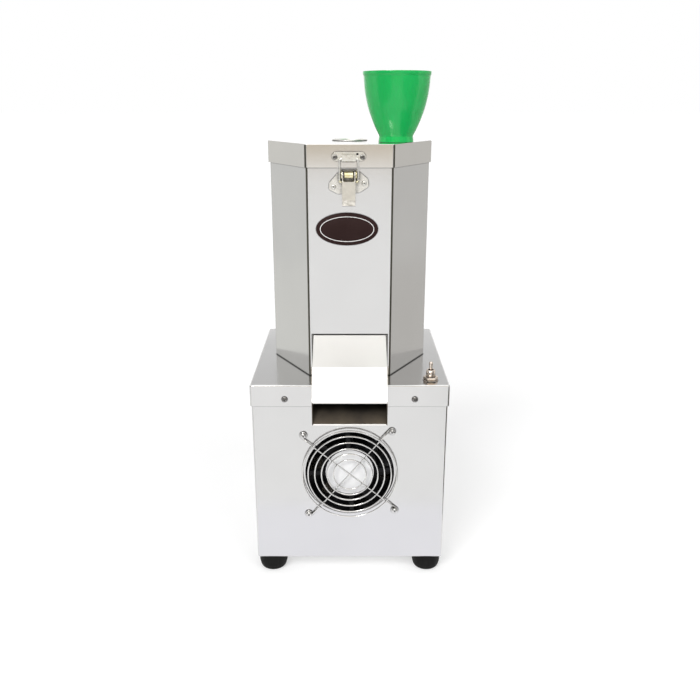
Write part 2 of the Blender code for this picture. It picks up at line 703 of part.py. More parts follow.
def fan_frame():
    at = (0.0, FRONT_Y, FAN_Z)
    back = FAN_FACE - FAN_DEPTH
    plate = rounded(rectangle(FAN_SIDE / 2, FAN_SIDE / 2), FAN_CORNER)
    frame = make("fan_frame", prism(plate, FAN_FACE - FAN_FLANGE, FAN_FACE, TO_FAN, at), "cast", at)
    barrel = (back + FAN_FLANGE / 2, FAN_FACE - FAN_FLANGE / 2)
    add(frame, drill(FAN_BARREL_RADIUS, *barrel, TO_FAN, at, ROUND_STEPS))
    add(frame, prism(plate, back, back + FAN_FLANGE, TO_FAN, at))
    cut(frame, drill(FAN_BORE_RADIUS, back - OVERRUN, FAN_FACE + OVERRUN, TO_FAN, at, ROUND_STEPS))
    hub_face = FAN_FACE - FAN_HUB_RECESS
    hub_back = hub_face - FAN_HUB_DEPTH
    add(frame, drill(FAN_HUB_RADIUS, hub_back, hub_face, TO_FAN, at, ROUND_STEPS))
    strut_reach = (FAN_BORE_RADIUS + FAN_BARREL_RADIUS) / 2
    strut_face = hub_face - FAN_HUB_RECESS
    strut_back = strut_face - FAN_STRUT_DEPTH
    middle = (FAN_HUB_RADIUS - FAN_STRUT_ROOT + strut_reach) / 2
    bars = []
    for n in range(FAN_STRUT_COUNT):
        turn = Matrix.Rotation(math.tau * n / FAN_STRUT_COUNT, 4, "Z")
        outline = rectangle(strut_reach - middle, FAN_STRUT_WIDTH / 2, (middle, 0.0))
        bars.append(prism(outline, strut_back, strut_face, TO_FAN @ turn, at))
    add(frame, merged(bars))
    pin_hole = drill(FAN_AXLE_RADIUS + GAP, hub_back - OVERRUN, hub_back + FAN_AXLE_DEPTH, TO_FAN, at)
    tools = fan_screw_drills(back - OVERRUN, FAN_FACE + OVERRUN)
    cut(frame, merged(tools + [pin_hole]))


def blade():
    """One blade of the fan: a twisted plate lofted from inside the can to the tip."""
    middle = ROTOR_FACE - ROTOR_CAN_DEPTH / 2
    loops = []
    for radius, share in ((ROTOR_CAN_RADIUS - BLADE_THICKNESS, 1.0), (FAN_BORE_RADIUS - BLADE_TIP_GAP, 0.75)):
        sweep = BLADE_SWEEP * share
        half = BLADE_DEPTH / 2
        thick = BLADE_THICKNESS / 2 / radius
        loop = []
        for angle, depth in ((-sweep / 2 - thick, half), (0.0 - thick, 0.0), (sweep / 2 - thick, -half),
                             (sweep / 2 + thick, -half), (0.0 + thick, 0.0), (-sweep / 2 + thick, half)):
            loop.append((radius * math.cos(angle), radius * math.sin(angle), middle + depth))
        loops.append(loop)
    return loft(loops)


def fan_rotor():
    at = (0.0, FRONT_Y, FAN_Z)
    axis = axis_mark("fan_axis", at)
    axle = ROTOR_FACE + FAN_AXLE_DEPTH
    back = ROTOR_FACE - ROTOR_CAN_DEPTH
    profile = [(0.0, axle), (FAN_AXLE_RADIUS, axle), (FAN_AXLE_RADIUS, ROTOR_FACE),
               (ROTOR_CAN_RADIUS, ROTOR_FACE), (ROTOR_CAN_RADIUS, back), (0.0, back)]
    rotor = make("fan_rotor", turned(profile, TO_FRONT, at), "black_plastic", at, axis)
    blades = []
    for n in range(BLADE_COUNT):
        turn = Matrix.Rotation(math.tau * n / BLADE_COUNT, 4, "Z")
        blades.append(set_up(blade(), TO_FRONT @ turn, at))
    add(rotor, merged(blades))


def fan_label():
    at = (0.0, FRONT_Y, FAN_Z)
    low = FAN_FACE - FAN_HUB_RECESS + GAP
    make("fan_label", prism(circle(LABEL_RADIUS), low, low + LABEL_THICKNESS, TO_FRONT, at), "white_paper", at)


def guard_arm(turn):
    """One long wire of the guard: straight across the middle, its ends hooked round two screws."""
    reach = math.hypot(FAN_SCREW_SPREAD, FAN_SCREW_SPREAD)
    lean = math.asin(GUARD_EYE_RADIUS / reach)
    tangent = reach * math.cos(lean)
    low = GAP + WIRE_RADIUS
    ramp = tangent - GUARD_EYE_RADIUS
    half = [(ramp - GUARD_RAMP, 0.0, GUARD_ARM_HEIGHT), (ramp, 0.0, low)]
    eye = arc((tangent, -GUARD_EYE_RADIUS), GUARD_EYE_RADIUS, math.pi / 2, -GUARD_EYE_TURN, GUARD_EYE_STEPS)
    half += [(u, v, low) for u, v in eye]
    other = [(-u, -v, w) for u, v, w in reversed(half)]
    wire = swept(other + half, WIRE_RADIUS, GUARD_SIDES)
    return set_up(wire, TO_FAN @ Matrix.Rotation(turn + lean, 4, "Z"), (0.0, FRONT_Y, FAN_Z))


def finger_guard():
    at = (0.0, FRONT_Y, FAN_Z)
    rings = []
    height = GUARD_ARM_HEIGHT + GUARD_RING_LIFT
    for inset in GUARD_RING_INSETS:
        radius = FAN_BORE_RADIUS - GUARD_EDGE_GAP - inset
        steps = max(SMALL_STEPS, round(radius * GUARD_STEPS_PER_RADIUS))
        path = [(u, v, height) for u, v in circle(radius, steps)]
        rings.append(set_up(swept(path, WIRE_RADIUS, GUARD_SIDES, closed=True), TO_FAN, at))
    guard = make("finger_guard", merged(rings), "chrome", at)
    add(guard, guard_arm(math.pi / 4))
    add(guard, guard_arm(math.pi * 3 / 4))


def fan_screws():
    out = GAP + WIRE_RADIUS * 2 + GAP
    profile = screw_profile(FAN_SCREW_HEAD, FAN_SCREW_HEAD_HEIGHT, FAN_SCREW_RADIUS, FAN_SCREW_LENGTH)
    for number, at in enumerate(fan_screw_places(out), 1):
        make(f"fan_screw_{number}", turned(profile, TO_FRONT, at, SCREW_STEPS), "chrome", at)


def motor():
    top = COVER_UNDER_Z - GAP
    at = (0.0, CENTRE_Y, top)
    under = -MOTOR_FLANGE_DEPTH
    low = under - MOTOR_BODY_LENGTH
    waist = under - MOTOR_STEP - MOTOR_WAIST
    bore = SHAFT_RADIUS + GAP
    profile = [(bore, SHEET), (MOTOR_PILOT_RADIUS, SHEET), (MOTOR_PILOT_RADIUS, 0.0),
               (MOTOR_FLANGE_RADIUS, 0.0), (MOTOR_FLANGE_RADIUS, under),
               (MOTOR_BODY_RADIUS - MOTOR_STEP, under - MOTOR_STEP),
               (MOTOR_BODY_RADIUS - MOTOR_STEP, waist), (MOTOR_BODY_RADIUS, waist - MOTOR_STEP),
               (MOTOR_BODY_RADIUS, low), (0.0, low), (0.0, -MOTOR_BORE_DEPTH), (bore, -MOTOR_BORE_DEPTH)]
    housing = make("motor_housing", turned(profile, UPRIGHT, at, COLLAR_STEPS), "cast", at)
    cut(housing, merged(motor_bolt_drills(-MOTOR_BOLT_LENGTH - OVERRUN, OVERRUN, top)))
    cap_at = (0.0, CENTRE_Y, top + low - GAP - MOTOR_CAP_DEPTH)
    cap = scaled(MOTOR_CAP_SHARES, MOTOR_BODY_RADIUS, MOTOR_CAP_DEPTH) + [(0.0, MOTOR_CAP_DEPTH)]
    make("motor_end_cap", turned(cap, UPRIGHT, cap_at, COLLAR_STEPS), "cast", cap_at)
    head_at = FLOOR_TOP_Z + GAP
    length = head_at - top + MOTOR_BOLT_LENGTH
    screw = screw_profile(MOTOR_BOLT_HEAD, MOTOR_BOLT_HEAD_HEIGHT, MOTOR_BOLT_RADIUS, length)
    for number, (u, v) in enumerate(around(MOTOR_BOLT_COUNT, MOTOR_BOLT_CIRCLE, math.pi / 4), 1):
        place = (u, CENTRE_Y + v, head_at)
        make(f"motor_bolt_{number}", turned(screw, UPRIGHT, place, SCREW_STEPS), "steel", place)


def capacitor():
    wall = -SHELL_SIDE / 2 + SHEET
    centre_x = wall + GAP + CLIP_THICKNESS + GAP + CAPACITOR_RADIUS
    at = (centre_x, CENTRE_Y + CAPACITOR_BACK, BASE_Z + SHEET + GAP)
    profile = [(0.0, 0.0), (CAPACITOR_RADIUS - CAPACITOR_RIM, 0.0), (CAPACITOR_RADIUS, CAPACITOR_RIM),
               (CAPACITOR_RADIUS, CAPACITOR_HEIGHT), (CAPACITOR_RADIUS - CAPACITOR_RIM, CAPACITOR_HEIGHT),
               (CAPACITOR_RADIUS - CAPACITOR_RIM, CAPACITOR_HEIGHT - CAPACITOR_RIM),
               (0.0, CAPACITOR_HEIGHT - CAPACITOR_RIM)]
    make("motor_capacitor", turned(profile, UPRIGHT, at, COLLAR_STEPS), "white_paper", at)
    band = CAPACITOR_RADIUS + GAP + CLIP_THICKNESS
    place = (centre_x, CENTRE_Y + CAPACITOR_BACK, BASE_Z + CLIP_LEVEL)
    strap = drill(band, 0.0, CLIP_HEIGHT, UPRIGHT, place, COLLAR_STEPS)
    clip = make("capacitor_clip", strap, "steel", place)
    foot = rectangle(CLIP_THICKNESS / 2, CLIP_LENGTH / 2, (wall + GAP + CLIP_THICKNESS / 2 - centre_x, 0.0))
    add(clip, prism(foot, 0.0, CLIP_HEIGHT, UPRIGHT, place))
    cut(clip, drill(CAPACITOR_RADIUS + GAP, -OVERRUN, CLIP_HEIGHT + OVERRUN, UPRIGHT, place, COLLAR_STEPS))


def gland():
    at = (GLAND_SIDE, REAR_Y, BASE_Z + GLAND_LEVEL)
    flange_top = GAP + GLAND_FLANGE
    body = make("gland_body", prism(hexagon(GLAND_HEX), GAP, flange_top, TO_REAR, at), "black_plastic", at)
    add(body, drill(GLAND_THREAD_RADIUS, -SHEET - GLAND_INSIDE, flange_top + GLAND_SPIGOT, TO_REAR, at,
                    THREAD_STEPS))
    cut(body, drill(GLAND_BORE_RADIUS, -SHEET - GLAND_INSIDE - OVERRUN, flange_top + GLAND_SPIGOT + OVERRUN,
                    TO_REAR, at))
    nut_low = flange_top + GAP
    nut_top = nut_low + GLAND_DOME_LENGTH
    flats = prism(hexagon(GLAND_DOME_HEX), nut_low, nut_top - GLAND_DOME_LENGTH / 3, TO_REAR, at)
    dome = make("gland_dome_nut", flats, "black_plastic", at)
    side = GLAND_DOME_HEX - GAP
    round_top = [(0.0, nut_low + GLAND_DOME_SKIN), (side, nut_low + GLAND_DOME_SKIN),
                 (side, nut_top - GLAND_DOME_SKIN), (side - GLAND_DOME_SKIN, nut_top), (0.0, nut_top)]
    add(dome, turned(round_top, TO_REAR, at, THREAD_STEPS))
    inside = flange_top + GLAND_SPIGOT + GAP
    wide = GLAND_THREAD_RADIUS + GAP
    bore = [(0.0, nut_low - OVERRUN), (wide, nut_low - OVERRUN), (wide, inside), (GLAND_BORE_RADIUS, inside),
            (GLAND_BORE_RADIUS, nut_top + OVERRUN), (0.0, nut_top + OVERRUN)]
    cut(dome, turned(bore, TO_REAR, at, THREAD_STEPS))
    inner = -SHEET - GAP
    locknut = make("gland_locknut", prism(hexagon(GLAND_HEX), inner - LOCKNUT_HEIGHT, inner, TO_REAR, at),
                   "black_plastic", at)
    through = (inner - LOCKNUT_HEIGHT - OVERRUN, inner + OVERRUN)
    cut(locknut, drill(GLAND_THREAD_RADIUS + GAP, *through, TO_REAR, at, THREAD_STEPS))


def toggle_switch():
    at = (SWITCH_X, FRONT_Y + SWITCH_BACK, COVER_Z)
    under = -SHEET - GAP
    block = rectangle(SWITCH_BODY_WIDTH / 2, SWITCH_BODY_DEPTH / 2)
    case = prism(block, under - SWITCH_BODY_HEIGHT, under, UPRIGHT, at)
    body = make("switch_body", case, "black_plastic", at)
    add(body, drill(BUSHING_RADIUS, under - SHEET, BUSHING_HEIGHT, UPRIGHT, at, THREAD_STEPS))
    cut(body, drill(BUSHING_CAVITY_RADIUS, BUSHING_HEIGHT - BUSHING_CAVITY_DEPTH, BUSHING_HEIGHT + OVERRUN,
                    UPRIGHT, at))
    bore = BUSHING_RADIUS + GAP
    low = GAP
    high = low + SWITCH_WASHER_THICKNESS
    washer = [(bore, low), (SWITCH_WASHER_RADIUS, low), (SWITCH_WASHER_RADIUS, high), (bore, high)]
    make("switch_washer", turned(washer, UPRIGHT, at, THREAD_STEPS), "chrome", at)
    low = high + GAP
    high = low + SWITCH_NUT_HEIGHT
    nut = make("switch_nut", prism(hexagon(SWITCH_NUT_HEX), low, high, UPRIGHT, at), "chrome", at)
    cut(nut, drill(bore, low - OVERRUN, high + OVERRUN, UPRIGHT, at, THREAD_STEPS))
    pivot = (at[0], at[1], COVER_Z + BUSHING_HEIGHT - LEVER_PIVOT_DEPTH)
    axis = axis_mark("switch_axis", pivot)
    ball = scaled(DOME_SHARES, LEVER_BALL_RADIUS, -LEVER_BALL_RADIUS)[::-1]
    bat = scaled(LEVER_BAT_SHARES, LEVER_TIP_RADIUS, LEVER_TIP_SPAN)
    make("switch_lever", turned(ball + bat, UPRIGHT, pivot, SMALL_STEPS), "chrome", pivot, axis)


def tower_shell():
    outer = rounded(hexagon(APOTHEM), TOWER_BEND)
    inner = rounded(hexagon(APOTHEM - SHEET), TOWER_BEND - SHEET)
    lip = rounded(hexagon(APOTHEM - SHEET - TOWER_FLANGE), TOWER_BEND - SHEET)
    skin = [level(outer, TOWER_Z), level(outer, TOWER_TOP_Z), level(inner, TOWER_TOP_Z),
            level(inner, TOWER_Z + SHEET), level(lip, TOWER_Z + SHEET), level(lip, TOWER_Z)]
    tower = make("tower_shell", loft(skin, closed=True), "stainless", (0.0, CENTRE_Y, TOWER_Z))
    low = COVER_Z + CHUTE_FLOOR_RISE - CHUTE_OPENING_BASE_GAP
    high = COVER_Z + CHUTE_TOP_RISE + CHUTE_OPENING_TOP_GAP
    half = CHUTE_WIDTH / 2 + CHUTE_OPENING_SIDE_GAP
    opening = rectangle(half, (high - low) / 2, (0.0, (high + low) / 2))
    tools = [prism(opening, -SHEET - OVERRUN, OVERRUN, TO_FRONT, (0.0, TOWER_FRONT_Y, 0.0))]
    tools += [drill(RIVET_RADIUS + GAP, -SHEET - OVERRUN, OVERRUN, TO_FRONT, place)
              for place in base_rivet_places()]
    cut(tower, merged(tools))


def chamber_floor():
    plate = rounded(hexagon(APOTHEM - SHEET - GAP), TOWER_BEND - SHEET)
    floor = make("chamber_floor", loft([level(plate, FLOOR_Z), level(plate, FLOOR_TOP_Z)]), "stainless",
                 (0.0, CENTRE_Y, FLOOR_Z))
    tools = [drill(SEAL_COLLAR_RADIUS + GAP, -OVERRUN, FLOOR_THICKNESS + OVERRUN, UPRIGHT,
                   (0.0, CENTRE_Y, FLOOR_Z), COLLAR_STEPS)]
    cut(floor, merged(tools + motor_bolt_drills(-OVERRUN, FLOOR_THICKNESS + OVERRUN, FLOOR_Z)))


def shaft_seal():
    at = (0.0, CENTRE_Y, FLOOR_TOP_Z + GAP)
    bore = SHAFT_RADIUS + GAP
    collar = -GAP - FLOOR_THICKNESS
    profile = [(bore, collar), (SEAL_COLLAR_RADIUS, collar), (SEAL_COLLAR_RADIUS, 0.0), (SEAL_RADIUS, 0.0),
               (SEAL_RADIUS, SEAL_HEIGHT / 2), (SEAL_COLLAR_RADIUS, SEAL_HEIGHT), (bore, SEAL_HEIGHT)]
    make("shaft_seal", turned(profile, UPRIGHT, at, COLLAR_STEPS), "black_rubber", at)


def rotor():
    """Shaft, disc, rubber fingers and nut, which turn together."""
    at = (0.0, CENTRE_Y, DISC_Z)
    axis = axis_mark("rotor_axis", at)
    shaft_low = COVER_UNDER_Z - GAP - MOTOR_BORE_DEPTH + GAP - DISC_Z
    spigot = DISC_THICKNESS + SPIGOT_HEIGHT
    shaft = [(0.0, shaft_low), (SHAFT_RADIUS, shaft_low), (SHAFT_RADIUS, -GAP), (SPIGOT_RADIUS, -GAP),
             (SPIGOT_RADIUS, spigot), (0.0, spigot)]
    make("motor_shaft", turned(shaft, UPRIGHT, at, THREAD_STEPS), "steel", at, axis)
    hole = SPIGOT_RADIUS + GAP
    plate = [(hole, 0.0), (DISC_RADIUS - DISC_EDGE, 0.0), (DISC_RADIUS, DISC_EDGE),
             (DISC_RADIUS, DISC_THICKNESS - DISC_EDGE), (DISC_RADIUS - DISC_EDGE, DISC_THICKNESS),
             (hole, DISC_THICKNESS)]
    disc = make("peeling_disc", turned(plate, UPRIGHT, at, DISC_STEPS), "stainless", at, axis)
    places = around(FINGER_COUNT, FINGER_CIRCLE)
    cut(disc, merged([drill(FINGER_STEM_RADIUS + GAP, -OVERRUN, DISC_THICKNESS + OVERRUN, UPRIGHT,
                            (u, CENTRE_Y + v, DISC_Z)) for u, v in places]))
    seat = DISC_THICKNESS + GAP
    tip_base = seat + FINGER_HEIGHT - FINGER_TIP_RADIUS
    tip = scaled(DOME_SHARES, FINGER_TIP_RADIUS, FINGER_TIP_RADIUS, (0.0, tip_base))
    finger = [(0.0, 0.0), (FINGER_STEM_RADIUS, 0.0), (FINGER_STEM_RADIUS, seat),
              (FINGER_FOOT_RADIUS, seat), (FINGER_FOOT_RADIUS, seat + FINGER_FOOT_HEIGHT / 2),
              (FINGER_ROOT_RADIUS, seat + FINGER_FOOT_HEIGHT)]
    for number, (u, v) in enumerate(places, 1):
        place = (u, CENTRE_Y + v, DISC_Z)
        make(f"peeling_finger_{number}", turned(finger + tip, UPRIGHT, place, SCREW_STEPS), "food_rubber",
             place, axis)
    nut_low = DISC_THICKNESS + GAP
    flats = prism(hexagon(HUB_NUT_HEX), nut_low, nut_low + HUB_NUT_HEIGHT / 2, UPRIGHT, at)
    nut = make("rotor_hub_nut", flats, "chrome", at, axis)
    cap_radius = HUB_NUT_HEX - GAP
    cap = [(0.0, nut_low + GAP)] + scaled(DOME_SHARES, cap_radius, HUB_NUT_HEIGHT - GAP, (0.0, nut_low + GAP))
    add(nut, turned(cap, UPRIGHT, at, DOME_STEPS))
    cut(nut, drill(SPIGOT_RADIUS + GAP, nut_low - OVERRUN, spigot + GAP, UPRIGHT, at))


def chute_outline(inset, overrun):
    """The chute seen from its side, a bent top plate and a bent floor, or inset by the sheet for the duct."""
    inner_end = TOWER_FRONT_Y + SHEET + GAP + SHEET - FRONT_Y
    face = TOWER_FRONT_Y - FRONT_Y - GAP
    crest = -GAP - SHEET - CHUTE_CREST_GAP
    floor_bend = Vector((crest, CHUTE_CREST_GAP))
    lip = Vector((-CHUTE_LIP_REACH, -CHUTE_LIP_DROP))
    sill = Vector((-CHUTE_LIP_REACH, -CHUTE_LIP_DROP - CHUTE_MOUTH_HEIGHT))
    top_line = [Vector((inner_end, CHUTE_TOP_RISE)), Vector((face, CHUTE_TOP_RISE)),
                Vector((-CHUTE_BEND_REACH, CHUTE_BEND_RISE)), lip]
    floor_line = [sill, floor_bend, Vector((face, CHUTE_FLOOR_RISE)), Vector((inner_end, CHUTE_FLOOR_RISE))]
    if inset:
        top_line = inset_line(top_line, inset, overrun)
        floor_line = inset_line(floor_line, inset, overrun)
    return [tuple(point) for point in top_line + floor_line]


def inset_line(line, inset, overrun):
    """An open run of points moved to its left by the sheet, its ends drawn out past the duct."""
    line = [line[0] + (line[0] - line[1]).normalized() * overrun, *line[1:-1],
            line[-1] + (line[-1] - line[-2]).normalized() * overrun]
    moved = []
    for index, point in enumerate(line):
        runs = []
        if index:
            runs.append((point - line[index - 1]).normalized())
        if index < len(line) - 1:
            runs.append((line[index + 1] - point).normalized())
        normals = [Vector((-run.y, run.x)) for run in runs]
        middle = sum(normals, Vector((0, 0))).normalized()
        moved.append(point + middle * inset / middle.dot(normals[0]))
    return moved


def discharge_chute():
    at = (0.0, FRONT_Y, COVER_Z)
    half = CHUTE_WIDTH / 2
    chute = make("discharge_chute", prism(chute_outline(0, 0), -half, half, TO_SIDE, at), "stainless", at)
    inner_wall = TOWER_FRONT_Y + SHEET + GAP - FRONT_Y
    wing = rectangle(SHEET / 2, (CHUTE_TOP_RISE - CHUTE_FLOOR_RISE) / 2,
                     (inner_wall + SHEET / 2, (CHUTE_TOP_RISE + CHUTE_FLOOR_RISE) / 2))
    add(chute, prism(wing, -half - CHUTE_FLANGE, half + CHUTE_FLANGE, TO_SIDE, at))
    cut(chute, prism(chute_outline(SHEET, OVERRUN), -half + SHEET, half - SHEET, TO_SIDE, at))


def lid(axis):
    outer_reach = APOTHEM + SKIRT_OUT
    bend = TOWER_BEND + SKIRT_OUT
    inner = rounded(hexagon(APOTHEM + LID_GAP), bend - LID_SHEET)
    outer = rounded(hexagon(outer_reach), bend)
    top = rounded(hexagon(outer_reach - LID_EDGE), bend - LID_EDGE)
    skin = [level(top, LID_Z), level(outer, LID_Z - LID_EDGE), level(outer, SKIRT_Z), level(inner, SKIRT_Z),
            level(inner, LID_UNDER_Z)]
    cap = make("lid", loft(skin), "stainless", (0.0, CENTRE_Y, LID_Z), axis)
    centre = (0.0, CENTRE_Y, LID_Z)
    tools = [drill(PORT_RADIUS + GAP, -OVERRUN - LID_SHEET, OVERRUN, UPRIGHT, centre, ROUND_STEPS)]
    skirt_face = TOWER_FRONT_Y - SKIRT_OUT
    tools += [drill(RIVET_RADIUS + GAP, -LID_SHEET - OVERRUN / 2, OVERRUN, TO_FRONT, (x, skirt_face, z))
              for x, z in strike_rivet_places()]
    cut(cap, merged(tools))


def feed_port_ring(axis):
    at = (0.0, CENTRE_Y, LID_Z)
    bore = PORT_RADIUS - PORT_WALL
    rim = scaled(RIM_SHARES, PORT_RIM_RADIUS - bore, PORT_RIM_HEIGHT, (bore, GAP))
    profile = [(bore, -PORT_DEPTH), (PORT_RADIUS, -PORT_DEPTH), (PORT_RADIUS, GAP)] + rim
    make("feed_port_ring", turned(profile, UPRIGHT, at, ROUND_STEPS), "stainless", at, axis)


def hinge_barrels(first):
    """Solid barrels of every second knuckle, from the first given."""
    pitch = HINGE_LENGTH / HINGE_KNUCKLES
    return [(-HINGE_LENGTH / 2 + n * pitch + GAP / 2, -HINGE_LENGTH / 2 + (n + 1) * pitch - GAP / 2)
            for n in range(first, HINGE_KNUCKLES, 2)]


def hinge(axis):
    """Two leaves with knuckles in turn on one pin, welded to the tower and to the skirt."""
    at = (0.0, HINGE_Y, HINGE_Z)
    face = -HINGE_OFFSET
    half = HINGE_LENGTH / 2
    bore = [drill(HINGE_PIN_RADIUS + GAP, -half - OVERRUN, half + OVERRUN, TO_SIDE, at)]
    leaf_face = face + SKIRT_OUT + GAP
    plate = [(leaf_face, 0.0), (leaf_face + HINGE_LEAF, 0.0), (leaf_face + HINGE_LEAF, HINGE_LID_LEAF),
             (leaf_face, HINGE_LID_LEAF)]
    low_edge = HINGE_BARREL_RADIUS + HINGE_ROOM
    upper = [(leaf_face, low_edge), (leaf_face + HINGE_LEAF, low_edge), *plate[2:]]
    lid_leaf = make("hinge_leaf_lid", prism(upper, -half, half, TO_SIDE, at), "stainless", at, axis)
    overlap = low_edge + HINGE_BARREL_RADIUS
    tongue = plate[:2] + [(leaf_face + HINGE_LEAF, overlap), (leaf_face, overlap)]
    add(lid_leaf, merged([prism(tongue, low, high, TO_SIDE, at) for low, high in hinge_barrels(1)]))
    add(lid_leaf, merged([drill(HINGE_BARREL_RADIUS, low, high, TO_SIDE, at)
                          for low, high in hinge_barrels(1)]))
    cut(lid_leaf, merged(bore))
    tower_face = face + GAP
    top = -HINGE_RISE - HINGE_DROP
    flat = [(tower_face, top - HINGE_TOWER_LEAF), (tower_face + HINGE_LEAF, top - HINGE_TOWER_LEAF),
            (tower_face + HINGE_LEAF, top), (tower_face, top)]
    tower_leaf = make("hinge_leaf_tower", prism(flat, -half, half, TO_SIDE, at), "stainless", at)
    web = [(tower_face, top - HINGE_LEAF), (tower_face + HINGE_LEAF, top - HINGE_LEAF * 2),
           (-HINGE_LEAF / 2, -HINGE_BARREL_RADIUS + HINGE_LEAF / 2),
           (-HINGE_BARREL_RADIUS / 2, -HINGE_BARREL_RADIUS / 2)]
    add(tower_leaf, merged([prism(web, low, high, TO_SIDE, at) for low, high in hinge_barrels(0)]))
    add(tower_leaf, merged([drill(HINGE_BARREL_RADIUS, low, high, TO_SIDE, at)
                            for low, high in hinge_barrels(0)]))
    cut(tower_leaf, drill(HINGE_PIN_RADIUS + GAP, -half - OVERRUN, half + OVERRUN, TO_SIDE, at))
    make("hinge_pin", drill(HINGE_PIN_RADIUS, -half, half, TO_SIDE, at), "steel", at)


def strike_rivet_places():
    height = LID_Z - STRIKE_DROP - STRIKE_RIVET_DROP
    return [(LATCH_X - STRIKE_RIVET_SPREAD, height), (LATCH_X + STRIKE_RIVET_SPREAD, height)]


def strike(axis):
    """Plate on the skirt with a hook folded up in front of it, which holds the bail's bar."""
    at = (LATCH_X, TOWER_FRONT_Y, LID_Z - STRIKE_DROP)
    back = SKIRT_OUT + GAP
    outline = rounded(scaled(STRIKE_SHARES, STRIKE_WIDTH / 2, STRIKE_HEIGHT / 2), BASE_CORNER)
    plate = make("latch_strike", prism(outline, back, STRIKE_OUT, TO_FRONT, at), "stainless", at, axis)
    base = STRIKE_DROP - HOOK_BASE_DROP
    floor = base + HOOK_STRIP
    inside = BAIL_OUT + BAIL_WIRE + HOOK_FRONT_ROOM
    outside = inside + HOOK_STRIP
    tip = STRIKE_DROP - HOOK_TIP_DROP
    root = STRIKE_OUT - LATCH_PLATE / 2
    hook = [(root, base), (outside - HOOK_STRIP, base), (outside, base + HOOK_STRIP), (outside, tip),
            (inside, tip), (inside, floor), (root, floor)]
    add(plate, prism(hook, -HOOK_WIDTH / 2, HOOK_WIDTH / 2, FROM_FRONT, at))
    drills = [drill(RIVET_RADIUS + GAP, back - OVERRUN, STRIKE_OUT + OVERRUN, TO_FRONT, (x, TOWER_FRONT_Y, z))
              for x, z in strike_rivet_places()]
    spare = (LATCH_X + STRIKE_SPARE_HOLE, TOWER_FRONT_Y, LID_Z - STRIKE_DROP + STRIKE_HEIGHT / 4)
    drills.append(drill(STRIKE_SPARE_RADIUS, back - OVERRUN, STRIKE_OUT + OVERRUN, TO_FRONT, spare))
    cut(plate, merged(drills))
    tail = -GAP - LATCH_PLATE - GAP - LID_SHEET
    profile = scaled(PAN_HEAD_SHARES, RIVET_HEAD, RIVET_HEAD_HEIGHT)
    profile += [(RIVET_RADIUS, 0.0), (RIVET_RADIUS, tail), (0.0, tail)]
    for number, (x, z) in enumerate(strike_rivet_places(), 1):
        place = (x, TOWER_FRONT_Y - STRIKE_OUT - GAP, z)
        make(f"strike_rivet_{number}", turned(profile, TO_FRONT, place, SCREW_STEPS), "steel", place, axis)


def base_rivet_places():
    left, right = BASE_RIVET_DROPS
    return [(LATCH_X - BASE_RIVET_SPREAD, TOWER_FRONT_Y, PIVOT_Z - left),
            (LATCH_X + BASE_RIVET_SPREAD, TOWER_FRONT_Y, PIVOT_Z - right)]


def ear_outline(radius, back):
    """A lug in side view: straight from the plate, round about the pivot."""
    nose = arc((BAIL_OUT, 0.0), radius, -math.pi / 2, math.pi, BEND_STEPS * 2)
    return [(back, -radius), *nose, (back, radius)]


def latch_base():
    """Winged plate on the tower with two ears and a middle knuckle for the pivot pin."""
    at = (LATCH_X, TOWER_FRONT_Y, PIVOT_Z)
    face = GAP + LATCH_PLATE
    outline = rounded(scaled(BASE_SHARES, BASE_HALF_WIDTH, BASE_LENGTH), BASE_CORNER)
    plate = make("latch_base", prism(outline, GAP, face, TO_FRONT, at), "zinc", at)
    ear_in = LEVER_WIDTH / 2 + GAP
    ear_out = ear_in + EAR_THICKNESS
    lug = ear_outline(EAR_RADIUS, GAP + LATCH_PLATE / 2)
    add(plate, merged([prism(lug, low, high, FROM_FRONT, at)
                       for low, high in ((ear_in, ear_out), (-ear_out, -ear_in))]))
    knuckle = [(GAP + LATCH_PLATE / 2, KNUCKLE_RADIUS - KNUCKLE_WEB),
               *arc((BAIL_OUT, 0.0), KNUCKLE_RADIUS, -math.pi * 3 / 4, math.pi * 5 / 4, BEND_STEPS * 3),
               (GAP + LATCH_PLATE / 2, KNUCKLE_RADIUS)]
    add(plate, prism(knuckle, -KNUCKLE_WIDTH / 2, KNUCKLE_WIDTH / 2, FROM_FRONT, at))
    pin = (LATCH_X, TOWER_FRONT_Y - BAIL_OUT, PIVOT_Z)
    tools = [drill(PIVOT_PIN_RADIUS + GAP, -ear_out - OVERRUN, ear_out + OVERRUN, TO_SIDE, pin)]
    tools += [drill(RIVET_RADIUS + GAP, -OVERRUN, face + OVERRUN, TO_FRONT, place)
              for place in base_rivet_places()]
    cut(plate, merged(tools))
    make("latch_pivot_pin", drill(PIVOT_PIN_RADIUS, -ear_out, ear_out, TO_SIDE, pin), "steel", pin)
    shank = -GAP - face - SHEET - GAP
    profile = scaled(PAN_HEAD_SHARES, RIVET_HEAD, RIVET_HEAD_HEIGHT)
    profile += [(RIVET_RADIUS, 0.0), (RIVET_RADIUS, shank), (RIVET_HEAD, shank),
                (RIVET_HEAD, shank - RIVET_TAIL), (0.0, shank - RIVET_TAIL)]
    for number, place in enumerate(base_rivet_places(), 1):
        seat = (place[0], place[1] - face - GAP, place[2])
        make(f"base_rivet_{number}", turned(profile, TO_FRONT, seat, SCREW_STEPS), "steel", seat)


